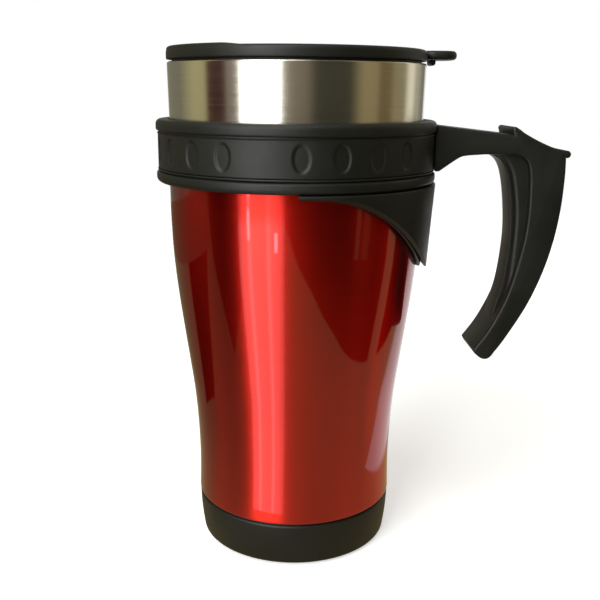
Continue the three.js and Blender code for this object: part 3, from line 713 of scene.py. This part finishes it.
# %% The rule that the ovals follow
given = add_node(ovals, "NodeGroupInput").outputs
maths = maths_in(ovals)
place = add_node(ovals, "GeometryNodeInputPosition").outputs["Position"]
x, y, z = add_node(ovals, "ShaderNodeSeparateXYZ", {"Vector": place}).outputs
angle = maths("ABSOLUTE", maths("DEGREES", maths("ARCTAN2", y, x)))
last_oval = maths("SUBTRACT", given["Ovals In Group"], 1.0)


def off_nearest(group):
    """Degrees from a point to the middle of the nearest oval of one group."""
    steps = maths("DIVIDE", maths("SUBTRACT", angle, group), given["Pitch"])
    number = maths("MINIMUM", maths("MAXIMUM", maths("ROUND", steps), 0.0), last_oval)
    middle = maths("MULTIPLY_ADD", number, given["Pitch"], group)
    return maths("ABSOLUTE", maths("SUBTRACT", angle, middle))


nearest = maths("MINIMUM", off_nearest(given["First Group"]),
                off_nearest(given["Second Group"]))
aside = maths("MULTIPLY", maths("RADIANS", nearest), given["Ring Radius"])
above = maths("SUBTRACT", z, given["Middle Height"])
half_width = maths("MULTIPLY", given["Oval Width"], 0.5)
half_height = maths("MULTIPLY", given["Oval Height"], 0.5)
across = maths("POWER", maths("DIVIDE", aside, half_width), 2.0)
upward = maths("POWER", maths("DIVIDE", above, half_height), 2.0)
outwards = maths("SQRT", maths("ADD", across, upward))
inside = maths("MULTIPLY", maths("SUBTRACT", 1.0, outwards), half_width)
pressed = in_range(ovals, inside, 0.0, given["Sloping Edge"], 0.0, given["Depth"],
                   interpolation_type="SMOOTHSTEP")
radius = maths("SQRT", maths("ADD", maths("MULTIPLY", x, x), maths("MULTIPLY", y, y)))
just_inside = maths("SUBTRACT", given["Ring Radius"], 0.2 * MM)
outer_wall = maths("GREATER_THAN", radius, just_inside)
shrink = maths("MULTIPLY", maths("MULTIPLY", pressed, outer_wall), -1.0)
print("nodes for the depth:", len(ovals.nodes))

# %% The ovals' way out of the tree
inwards = add_node(ovals, "ShaderNodeVectorMath", {
    0: add_node(ovals, "ShaderNodeCombineXYZ", {"X": x, "Y": y}).outputs["Vector"],
    "Scale": maths("DIVIDE", shrink, radius),
}, operation="SCALE")
ring = given["Geometry"]
for kind, inputs in (
    ("GeometryNodeSetPosition", {"Offset": inwards.outputs["Vector"]}),
    ("GeometryNodeRealizeInstances", {}),
    ("GeometryNodeSetMaterial", {"Material": given["Material"]}),
):
    ring = add_node(ovals, kind, {"Geometry": ring, **inputs}).outputs["Geometry"]
add_node(ovals, "NodeGroupOutput", {"Geometry": ring})
print("oval tree:", len(ovals.nodes), "nodes")

# %% Press the ovals
press = collar.modifiers.new("ovals", "NODES")
press.node_group = ovals
for identifier, value in settings.items():
    press[identifier] = value
settle(collar)
dress(collar, black_plastic, "mug", "collar_ring")

# %% [markdown]
# ## The apron under the collar
#
# On the handle's side a pointed skirt hangs from the collar and stiffens it. Its lower edge
# swoops down to the point like a bow wave. A power of a cosine draws that swoop, and the
# skirt is a loft of small cross-sections placed round the mug.

# %% Apron
apron_top = COLLAR_BOTTOM - 0.12
apron_outer = BEAD_RADIUS + 0.28
apron_drop, apron_wall, apron_edge = 29.2, 2.4, 1.4
apron_reach, apron_steps = 91, 240  # degrees to either side, and steps round
least_tall = apron_edge + 0.3
point_radius = shell_radius(apron_top - apron_drop) + 1.2 + apron_wall
apron_rings = []
for k in range(apron_steps + 3):
    degrees = apron_reach * (2 * min(max(k - 1, 0.2), apron_steps) / apron_steps - 1)
    swoop = max(math.cos(math.radians(90 * degrees / apron_reach)), 0) ** 2.7
    low = apron_top - least_tall - (apron_drop - least_tall) * swoop
    tall = apron_top - low
    side = apron_outer + (point_radius - apron_outer) * tall / apron_drop
    edge_height = low + min(apron_edge * (1 - swoop), 0.4 * tall)
    skin_height = low + min(0.3 + 1.2 * swoop ** 4, tall / 3)
    groove_height = low + min(1.6 + 1.6 * swoop ** 4, tall / 2)
    section = [(apron_outer - 1.2, apron_top)]
    section += arc((apron_outer - 0.5, apron_top - 0.5), 0.5, 90, 0, 5)
    section += arc((side - 0.2, edge_height + 0.2), 0.2, 0, -80, 4)
    section += [
        (side - 1.5, skin_height), (side - 1.7, groove_height), (side - 1.9, groove_height),
        (side - 2.1, low + 0.35), (side - 2.5, low + 0.12), (side - 3.2, low + 0.4),
        (side - 3.2, low + tall * 0.6), (apron_outer - apron_wall, apron_top + 0.1),
    ]
    if k in (0, apron_steps + 2):  # a smaller ring within each end face
        middle = [sum(axis) / len(section) for axis in zip(*section)]
        section = [tuple(0.4 * m + 0.6 * c for m, c in zip(middle, corner)) for corner in section]
    apron_rings.append(around(section, degrees))
apron = loft("apron", apron_rings, 40)
dress(apron, black_plastic, "mug", "handle_apron")

# %% [markdown]
# ## The handle
#
# The handle is the hardest form here: a strut, a roll and a slope for the thumb, a small
# nib, and a hooked grip whose inner side steps down to a narrow spine. Seen from the side
# it is three flat outlines that share one back. So it is made as three plates of different
# widths, each with rounded edges, joined into one solid and cut to fit round the collar.

# %% Outlines of the handle
HANDLE_TOP = COLLAR_TOP - 1.3
HANDLE_REACH, HANDLE_DROP = 44.0, 80.0


def on_handle(*shares):
    """Places on the handle from their shares of its reach and drop."""
    return [(BEAD_RADIUS + HANDLE_REACH * a, HANDLE_TOP - HANDLE_DROP * b) for a, b in shares]


BACK_SHARES = [
    (0.964, 0.137), (0.966, 0.215), (0.953, 0.346), (0.915, 0.483),
    (0.847, 0.62), (0.742, 0.76), (0.593, 0.902), (0.512, 0.966),
]
PLATE_SHARES = [
    (0.344, 0.951), (0.45, 0.868), (0.545, 0.764), (0.613, 0.659),
    (0.684, 0.48), (0.704, 0.345), (0.695, 0.2), (0.664, 0.143), (0.6, 0.12),
]
STEP_SHARES = [
    (0.358, 0.951), (0.46, 0.868), (0.541, 0.764), (0.594, 0.659),
    (0.618, 0.48), (0.614, 0.345), (0.574, 0.21), (0.52, 0.15), (0.45, 0.121),
]
SPINE_SHARES = [
    (0.364, 0.951), (0.466, 0.868), (0.527, 0.75), (0.571, 0.65),
    (0.6, 0.48), (0.588, 0.335), (0.551, 0.21), (0.5, 0.148), (0.42, 0.12),
]
UNDER_SHARES = [(0.38, 0.118), (0.3, 0.12), (0.21, 0.124), (0.15, 0.135), (0.01, 0.188)]
SLOPE_SHARES = [
    (0.608, 0.0185), (0.643, 0.032), (0.71, 0.052), (0.79, 0.073), (0.87, 0.09), (0.953, 0.1),
]


def handle_outline(inner_shares, with_thumb_rest):
    """The side view of one plate, from the strut's top round to its underside."""
    line = on_handle((-0.06, 0), (0.553, 0.038))
    roll, nib, heel, toe, tip = on_handle(
        (0.5665, 0.0195), (0.9705, 0.1165), (0.468, 1.012), (0.398, 0.987), (0.362, 0.97),
    )
    if with_thumb_rest:
        line += arc(roll, 1.03, 180, 52, 12)
        line += smooth_line([line[-1]] + on_handle(*SLOPE_SHARES), 8)[1:]
        line += arc(nib, 1.23, 90, -108, 14)
    line += smooth_line(on_handle(*BACK_SHARES), 8)
    line += bow(line[-1], heel, toe, 8)[1:] + [tip]
    line += smooth_line(on_handle(*inner_shares), 8)
    line += smooth_line([line[-1]] + on_handle(*UNDER_SHARES), 8)[1:]
    line.append((line[0][0], line[-1][1]))
    return line


print("grip hooks", round(HANDLE_DROP * 0.99, 1), "mm below the strut")

# %% Handle, joined and cut to the collar
handle = plate("grip", handle_outline(PLATE_SHARES, True), -9.5, 9.5, 0.9, 6, True)
middle_step = plate("step", handle_outline(STEP_SHARES, False), -7, 7, 1.6, 7, True)
spine = plate("spine", handle_outline(SPINE_SHARES, False), -5, 5, 0.3, 4, True)
bead, band = BEAD_RADIUS + GAP, COLLAR_RADIUS + 0.2 + GAP
collar_space = turned("collar_space", [
    (0, COLLAR_BOTTOM - 2), (bead, COLLAR_BOTTOM - 2), (bead, low_bead_top + GAP),
    (band, low_bead_top + GAP), (band, bead_foot - GAP), (bead, bead_foot - GAP),
    (bead, COLLAR_TOP + 2), (0, COLLAR_TOP + 2),
])
join_solids(handle, [middle_step, spine])
join_solids(handle, [collar_space], "DIFFERENCE")
dress(handle, black_plastic, "mug", "handle")

# %% [markdown]
# ## The lid
#
# The lid is turned too: a deck sunk below a rounded rim, a skirt that rests on the cup and a
# plug that goes into it. A drinking lip, a thumb tab and two slider rails are added to it,
# and the drink hole, the slider's slot and a small vent are cut through the deck.

# %% Lid
gasket_low, gasket_tall, gasket_deep = PLUG_BOTTOM + 5.5, 3, 1
gasket_high, gasket_radius = gasket_low + gasket_tall, PLUG_RADIUS - gasket_deep
rim_round, plug_wall = 1.4, 1.6
skirt_low = SKIRT_BOTTOM + 0.4
lid_outline = [(0, DECK_TOP), (WELL_RADIUS, DECK_TOP), (WELL_RADIUS, LID_TOP)]
lid_outline += arc((RIM_RADIUS - rim_round, LID_TOP - rim_round), rim_round, 90, 0, 10)
lid_outline += [
    (RIM_RADIUS, skirt_low), (PLUG_RADIUS, skirt_low), (PLUG_RADIUS, gasket_high),
    (gasket_radius, gasket_high), (gasket_radius, gasket_low),
    (PLUG_RADIUS, gasket_low), (PLUG_RADIUS, PLUG_BOTTOM),
    (PLUG_RADIUS - plug_wall, PLUG_BOTTOM), (PLUG_RADIUS - plug_wall, DECK_BOTTOM),
    (0, DECK_BOTTOM),
]
lid_cover = turned("lid_cover", soften(lid_outline, 0.4), 256)
print("lid", round(lid_cover.dimensions.x, 4), "m across")

# %% Drinking lip and thumb tab
lip_outer, lip_width, lip_rise = RIM_RADIUS - 0.15, 3.2, 0.45
lip_steps, lip_ramp = 96, 10
lip_rings = []
for k, degrees in enumerate(spaced(110, 250, lip_steps)):
    top = LID_TOP - 0.2 + (lip_rise + 0.2) * eased(min(k, lip_steps - k) / lip_ramp)
    section = [(lip_outer - lip_width, LID_TOP - rim_round), (lip_outer, LID_TOP - rim_round)]
    section += arc((lip_outer - 0.9, top - 0.9), 0.9, 0, 90, 6)
    section += arc((lip_outer - lip_width + 0.5, top - 0.5), 0.5, 90, 180, 5)
    lip_rings.append(around(section, degrees))
drinking_lip = loft("drinking_lip", lip_rings)
tab_bottom = LID_TOP - 2.6 - GAP
tab = plate(
    "tab", rounded_box(RIM_RADIUS - 2 * rim_round, RIM_RADIUS + 9.6, 15, 5, 10),
    tab_bottom, LID_TOP - 0.06, 1.2, 6,
)
tab_bead_line = arc((RIM_RADIUS + 1.9, tab_bottom - 0.9), 0.85, 180, 360, 12)
tab_bead_line += [(RIM_RADIUS + 2.75, tab_bottom + 0.8), (RIM_RADIUS + 1.05, tab_bottom + 0.8)]
tab_bead = plate("tab_bead", tab_bead_line, -3.5, 3.5, 0.3, upright=True)
print("lip and tab rise to", LID_TOP + lip_rise, "mm")

# %% Rails and holes of the lid
slider_low = -(WELL_RADIUS - 2)
slider_high, slider_travel = slider_low + 35, 13
rails = [
    plate("rail", plain_box(slider_low + 1.5, slider_high + slider_travel, near, far),
          DECK_TOP - 1, DECK_TOP + 2, 0.3)
    for near, far in ((8.3, 9.8), (-9.8, -8.3))
]
join_solids(lid_cover, [drinking_lip, tab, tab_bead] + rails)
hole_low = -(WELL_RADIUS - 5)
stem_low, stem_high = slider_low + 16, slider_low + 20
slot_high = stem_high + slider_travel + GAP
cut_low, cut_high = 160, 167  # well below and above the deck
join_solids(lid_cover, [
    plate(name, outline, cut_low, cut_high, 0) for name, outline in (
        ("drink", rounded_box(hole_low, hole_low + 6, 14, 2.85)),
        ("slot", rounded_box(stem_low - GAP, slot_high, 4.2, 0.3)),
        ("vent", arc((24, 0), 1.2, 0, 360, 24)[:-1]),
    )
], "DIFFERENCE")
dress(lid_cover, black_plastic, "lid", "lid_shell")

# %% Lid ring
ring_low, ring_high = gasket_low + GAP, gasket_high - GAP
ring_outer = band_radius(ring_low) - CUP_WALL - GAP
ring_inner = gasket_radius + GAP
lid_ring = turned("lid_ring", soften([
    (ring_inner, ring_low), (PLUG_RADIUS, ring_low), (ring_outer, (ring_low + ring_high) / 2),
    (PLUG_RADIUS, ring_high), (ring_inner, ring_high),
], 0.4), 160)
dress(lid_ring, milky_silicone, "lid", "lid_gasket")

# %% [markdown]
# ## The slider
#
# A flat slide covers the drink hole. A finger pushes its ridge towards the handle and the
# hole opens. A stem goes down through the slot to a clip below, and a soft pad under the
# slide does the sealing.

# %% Slider, pad and clip
slide_bottom = DECK_TOP + 0.5
slide_top = slide_bottom + 2
slide = plate("slide", rounded_box(slider_low, slider_high, 16, 4, 10),
              slide_bottom, slide_top, 0.5)
ridge_middle, ridge_foot, clip_thick = slider_high - 7, slide_top - 0.4, 1.4
ridge_line = bow((ridge_middle - 3.5, ridge_foot), (ridge_middle, slide_top + 3.2),
                 (ridge_middle + 3.5, ridge_foot), 16)
ridge = plate("ridge", ridge_line, -6, 6, 0.25, upright=True)
clip_low = DECK_BOTTOM - GAP - clip_thick
stem = plate("stem", plain_box(stem_low, stem_high, -1.8, 1.8),
             clip_low, slide_bottom + 1, 0.15)
join_solids(slide, [ridge, stem])
seat = plate("seat", rounded_box(slider_low + 1.6, slider_low + 12.6, 14.6, 2.75),
             slide_bottom - 2, slide_bottom + 0.8, 0)
join_solids(slide, [seat], "DIFFERENCE")
dress(slide, black_plastic, "slider", "drink_slider")
seal_pad = plate("seal_pad", rounded_box(slider_low + 1.9, slider_low + 12.3, 14, 2.7),
                 DECK_TOP + GAP, slide_bottom + 0.5, 0.2)
dress(seal_pad, milky_silicone, "slider", "slider_pad")
clip_middle = (stem_low + stem_high) / 2
clip = plate("clip", rounded_box(clip_middle - 5, clip_middle + 5, 9, 1.8),
             clip_low, clip_low + clip_thick, 0.3)
clip_hole = plate("clip_hole", plain_box(stem_low - GAP, stem_high + GAP, -2.1, 2.1),
                  clip_low - 2, clip_low + 4, 0)
join_solids(clip, [clip_hole], "DIFFERENCE")
dress(clip, black_plastic, "slider", "slider_clip")

# %% [markdown]
# ## Hidden pieces
#
# Five pieces never show, even with the lid off: two sealing rings, the collar's liner and
# the two screws. Their model shapes are right as they are and only need a finish.

# %% Hidden pieces
for finish, nodes in (
    (black_rubber, ("shell_top_seal", "base_seal_ring", "collar_liner")),
    (zinc_steel, ("handle_screw_lower", "handle_screw_upper")),
):
    for node in nodes:
        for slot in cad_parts[node].material_slots:
            slot.material = finish
        print(node, "wears", finish.name)

# %% [markdown]
# ## The floor
#
# The floor is a plain, nearly white sheet. It keeps the mug's soft shadow. To the camera a
# little light of its own is added, so that it runs into the white behind without an edge.
#
# Polished things also need something to reflect. Only rays that come off a gloss see a table
# here, painted into the floor as light of its own: a warm top, dark wedges of painted shade,
# a strip of painted glare from the window with two small painted glints in it, and white
# paper behind. Each is a wedge with its point near the mug.

# %% Floor paper
BLACK, WHITE = (0, 0, 0, 1), (1, 1, 1, 1)


def glow(tree, strength=1.0, colour=WHITE):
    """A surface that shines by itself."""
    return add_node(tree, "ShaderNodeEmission", {
        "Color": colour, "Strength": strength,
    }).outputs["Emission"]


def either(tree, share, first, second):
    """The first shader where the share is 0, and the second where it is 1."""
    node = add_node(tree, "ShaderNodeMixShader", {0: share, 1: first, 2: second})
    return node.outputs["Shader"]


floor_paper, tree, shader = new_finish("white paper floor")
fill(shader, {"Base Color": linear("#e4e4e2"), "Roughness": 0.9})
matt_paper = shader.outputs["BSDF"]
ray = add_node(tree, "ShaderNodeLightPath").outputs
lit_paper = add_node(tree, "ShaderNodeAddShader", {0: matt_paper, 1: glow(tree, 0.55)})
paper = either(tree, ray["Is Camera Ray"], matt_paper, lit_paper.outputs["Shader"])
print("paper nodes:", len(tree.nodes))

# %% Shapes on the table
place = add_node(tree, "ShaderNodeTexCoord").outputs["Object"]
along = add_node(tree, "ShaderNodeSeparateXYZ", {"Vector": place}).outputs
maths = maths_in(tree)


def vectors(operation, *values):
    """One vector maths node in the floor's tree."""
    values = dict(enumerate(values))
    return add_node(tree, "ShaderNodeVectorMath", values, operation=operation).outputs


from_mug = vectors("LENGTH", place)["Value"]


def beyond(distance):
    """1 where the table is farther from the mug's axis than a distance in metres."""
    return maths("GREATER_THAN", from_mug, distance)


def wedge(point, toward, half_angle, soft=1):
    """1 inside a wedge on the table, 0 outside it, with a soft edge in degrees."""
    offset = vectors("SUBTRACT", place, (point[0], point[1], 0.0))["Vector"]
    heading = vectors("NORMALIZE", offset)["Vector"]
    angle = math.radians(toward)
    middle = (math.cos(angle), math.sin(angle), 0.0)
    facing_it = vectors("DOT_PRODUCT", heading, middle)["Value"]
    edges = [math.cos(math.radians(half_angle + side)) for side in (soft, -soft)]
    return in_range(tree, facing_it, *edges)


print("helpers ready: beyond, wedge")

# %% Tones of the table
# Painted shade: dark wedges that darken the table seen in reflections
front_painted_shade = wedge((0.118, -0.100), -26, 88)
left_painted_shade = maths("MULTIPLY", wedge((-0.055, 0.016), 170, 17), beyond(0.125))
foot_painted_shade = wedge((-0.138, -0.076), 212, 31)
painted_shade_share = maths("MAXIMUM", front_painted_shade, maths("MAXIMUM", left_painted_shade, foot_painted_shade))
# Strips where the painted shade is lifted back to the table's tone
right_strip = wedge((0.0, -0.0505), 7.1, 5.1, 0.5)
far_streaks = maths("MULTIPLY", beyond(0.4), maths(
    "ADD", maths("MULTIPLY", wedge((0.0, -0.05), -32.5, 1.9), 0.55),
    maths("MULTIPLY", wedge((0.0, -0.05), -24.0, 3.0, 2), 0.3),
))
pale = maths("MAXIMUM", right_strip, far_streaks)
painted_shade_share = maths("MULTIPLY", painted_shade_share, maths("SUBTRACT", 1.0, pale))
# The far left lies past a slanting line that runs 0.395 m from the mug's axis
past_line = vectors("DOT_PRODUCT", place, (-0.888, 0.46, 0.0))["Value"]
far_left = maths("MULTIPLY", maths("GREATER_THAN", past_line, 0.395),
                 maths("GREATER_THAN", along["Y"], -0.065))
# Painted shade: the table's tone darkens towards its left side
shade = in_range(tree, along["X"], -0.03, -0.12)
table_tone = mixed(tree, shade, "#b8a67a", "#83775a")
# Where the painted shade falls, the table turns nearly black
table_tone = mixed(tree, painted_shade_share, table_tone, "#241c15")
table_tone = mixed(tree, far_left, table_tone, "#7b6048")
# The table glows with painted light for glossy rays, its painted shade included
table = glow(tree, 1.0, table_tone)
print("table nodes:", len(tree.nodes))

# %% Glare, glints and the finished floor
def ramp(tree, share, stops):
    """A colour ramp through (position, colour) stops, in order."""
    node = add_node(tree, "ShaderNodeValToRGB", {"Fac": share})
    elements = node.color_ramp.elements
    elements[0].position, elements[0].color = stops[0]
    elements[1].position, elements[1].color = stops[-1]
    for position, colour in stops[1:-1]:
        elements.new(position).color = colour
    return node.outputs["Color"]


GLARE_X, GLARE_Y = -0.006, -0.027  # where the glare's wedge starts


def glint(toward, half_angle, near, far):
    """1 in a narrow patch of the table between two distances, 0 around it."""
    between = maths("MULTIPLY", beyond(near), maths("LESS_THAN", from_mug, far))
    return maths("MULTIPLY", wedge((GLARE_X, GLARE_Y), toward, half_angle, 0.6), between)


glare = maths("MULTIPLY", wedge((GLARE_X, GLARE_Y), 237.4, 21.1), beyond(0.075))
glare_angle = maths("ARCTAN2", maths("SUBTRACT", along["Y"], GLARE_Y),
                    maths("SUBTRACT", along["X"], GLARE_X))
glare_share = in_range(tree, glare_angle, math.radians(-143.7), math.radians(-101.5))
streaks = ramp(tree, glare_share, [(position, (grey, grey, grey, 1)) for position, grey in (
    (0.0, 0.45), (0.16, 0.5), (0.24, 1.0), (0.31, 0.55),
    (0.58, 0.45), (0.66, 0.9), (0.74, 0.5), (1.0, 0.35),
)])
glare_strength = in_range(tree, from_mug, 0.62, 0.76, 2.7, 0.9)
glints = maths("ADD", glint(225.8, 1.1, 0.5, 0.78), glint(251.1, 1.4, 0.43, 0.56))
table = either(tree, glare, table, glow(tree, glare_strength, streaks))
table = either(tree, glints, table, glow(tree, 7.0, (0.85, 0.9, 1.0, 1.0)))
table = either(tree, wedge((0.086, -0.021), 74, 27, 4), table, glow(tree))
surface = either(tree, ray["Is Glossy Ray"], paper, table)
fill(tree.nodes["Material Output"], {"Surface": surface})
floor_radius = 900
floor = turned("floor", [(0, -0.05), (floor_radius, -0.05), (floor_radius, -1), (0, -1)], 96)
floor.data.materials.append(floor_paper)
print("floor", round(floor.dimensions.x, 2), "m across")

# %% [markdown]
# ## The room
#
# Brushed metal shows the room it stands in. The world here is a plain room, drawn by its
# direction alone: one tall window to the left of the camera, walls of a few quiet tones,
# a soft ceiling, and white paper behind. Each surface has a first and a last degree round
# the compass and one tone, and a ramp fades from each to the next. Heights are counted as
# the sine of the angle above the horizon.

# %% Walls, window and ceiling
world = bpy.data.worlds.new("room")
bpy.context.scene.world = world
world.use_nodes = True
tree = world.node_tree
tree.nodes.clear()
maths = maths_in(tree)
direction = add_node(tree, "ShaderNodeTexCoord").outputs["Generated"]
axes = add_node(tree, "ShaderNodeSeparateXYZ", {"Vector": direction}).outputs
compass = maths("ARCTAN2", axes["Y"], axes["X"])
compass = maths("SUBTRACT", compass, math.radians(CAMERA_AZIMUTH))
compass = maths("WRAP", compass, math.pi, -math.pi)
compass = maths("MULTIPLY_ADD", compass, 0.5 / math.pi, 0.5)


def by_compass(stops):
    """A ramp whose places are degrees, from -180 to 180."""
    return ramp(tree, compass, [((degrees + 180) / 360, colour) for degrees, colour in stops])


ROOM_SURFACES = [
    (-180, -168, "#c8c4b4"), (-157, -122, "#838070"), (-101, -86, "#bbb38a"),
    (-82, -65, "#4a2e2a"), (-62, -54, "#8d7e75"), (-10, 8, "#85796b"),
    (17, 47, "#45443a"), (59, 73, "#a0916f"), (77, 88, "#7b6b4d"),
    (94, 108, "#988e70"), (115, 122, "#fff8e6"), (128, 133, "#b8b3a2"),
    (146, 180, "#7a7a70"),
]
walls = by_compass([
    (degrees, linear(tone)) for start, end, tone in ROOM_SURFACES for degrees in (start, end)
])
window_side = by_compass([(-49.5, BLACK), (-48, WHITE), (-15.5, WHITE), (-13, BLACK)])
from_middle = maths("ABSOLUTE", maths("SUBTRACT", axes["Z"], 0.15))
window_height = in_range(tree, from_middle, 0.6, 0.65, 1.0, 0.0)
window = maths("MULTIPLY", window_side, window_height)
ceiling = in_range(tree, axes["Z"], 0.55, 0.95)
room = mixed(tree, ceiling, walls, "#8f8f8a")
room = mixed(tree, window, room, (6.0, 6.0, 5.9, 1.0))
print("room surfaces:", len(ROOM_SURFACES))

# %% White for the camera
ray = add_node(tree, "ShaderNodeLightPath").outputs
paper_middle, paper_edge, paper_core = 0.955, 0.03, 0.015  # shares of the compass
off_paper = maths("ABSOLUTE", maths("SUBTRACT", compass, paper_middle))
behind = in_range(tree, off_paper, paper_edge, paper_core)
shows_white = maths("MAXIMUM", ray["Is Camera Ray"],
                    maths("MULTIPLY", ray["Is Glossy Ray"], behind))
sky = add_node(tree, "ShaderNodeBackground", {
    "Color": mixed(tree, shows_white, room, WHITE),
})
add_node(tree, "ShaderNodeOutputWorld", {"Surface": sky.outputs["Background"]})
print("room nodes:", len(tree.nodes))

# %% [markdown]
# ## One soft lamp
#
# A large lamp high on the left lifts the black plastic and lays a soft shadow on the floor.

# %% Soft lamp
lamp_place, lamp_aim = Vector((-0.3, -0.35, 1.1)), Vector((0, 0, 0.08))
lamp_data = bpy.data.lights.new("ceiling lamp", "AREA")
lamp_data.shape = "SQUARE"
lamp_data.size = 0.7
lamp_data.energy = 6.0
lamp = bpy.data.objects.new("ceiling lamp", lamp_data)
bpy.context.scene.collection.objects.link(lamp)
lamp.location = lamp_place
lamp.rotation_mode = "QUATERNION"
lamp.rotation_quaternion = (lamp_aim - lamp_place).to_track_quat("-Z", "Y")
lamp.visible_camera = False
print("lamps:", len(bpy.data.lights))

# %% [markdown]
# ## The look of the picture
#
# The Standard view keeps colours as they were written.

# %% View and finish
bpy.context.scene.view_settings.view_transform = "Standard"
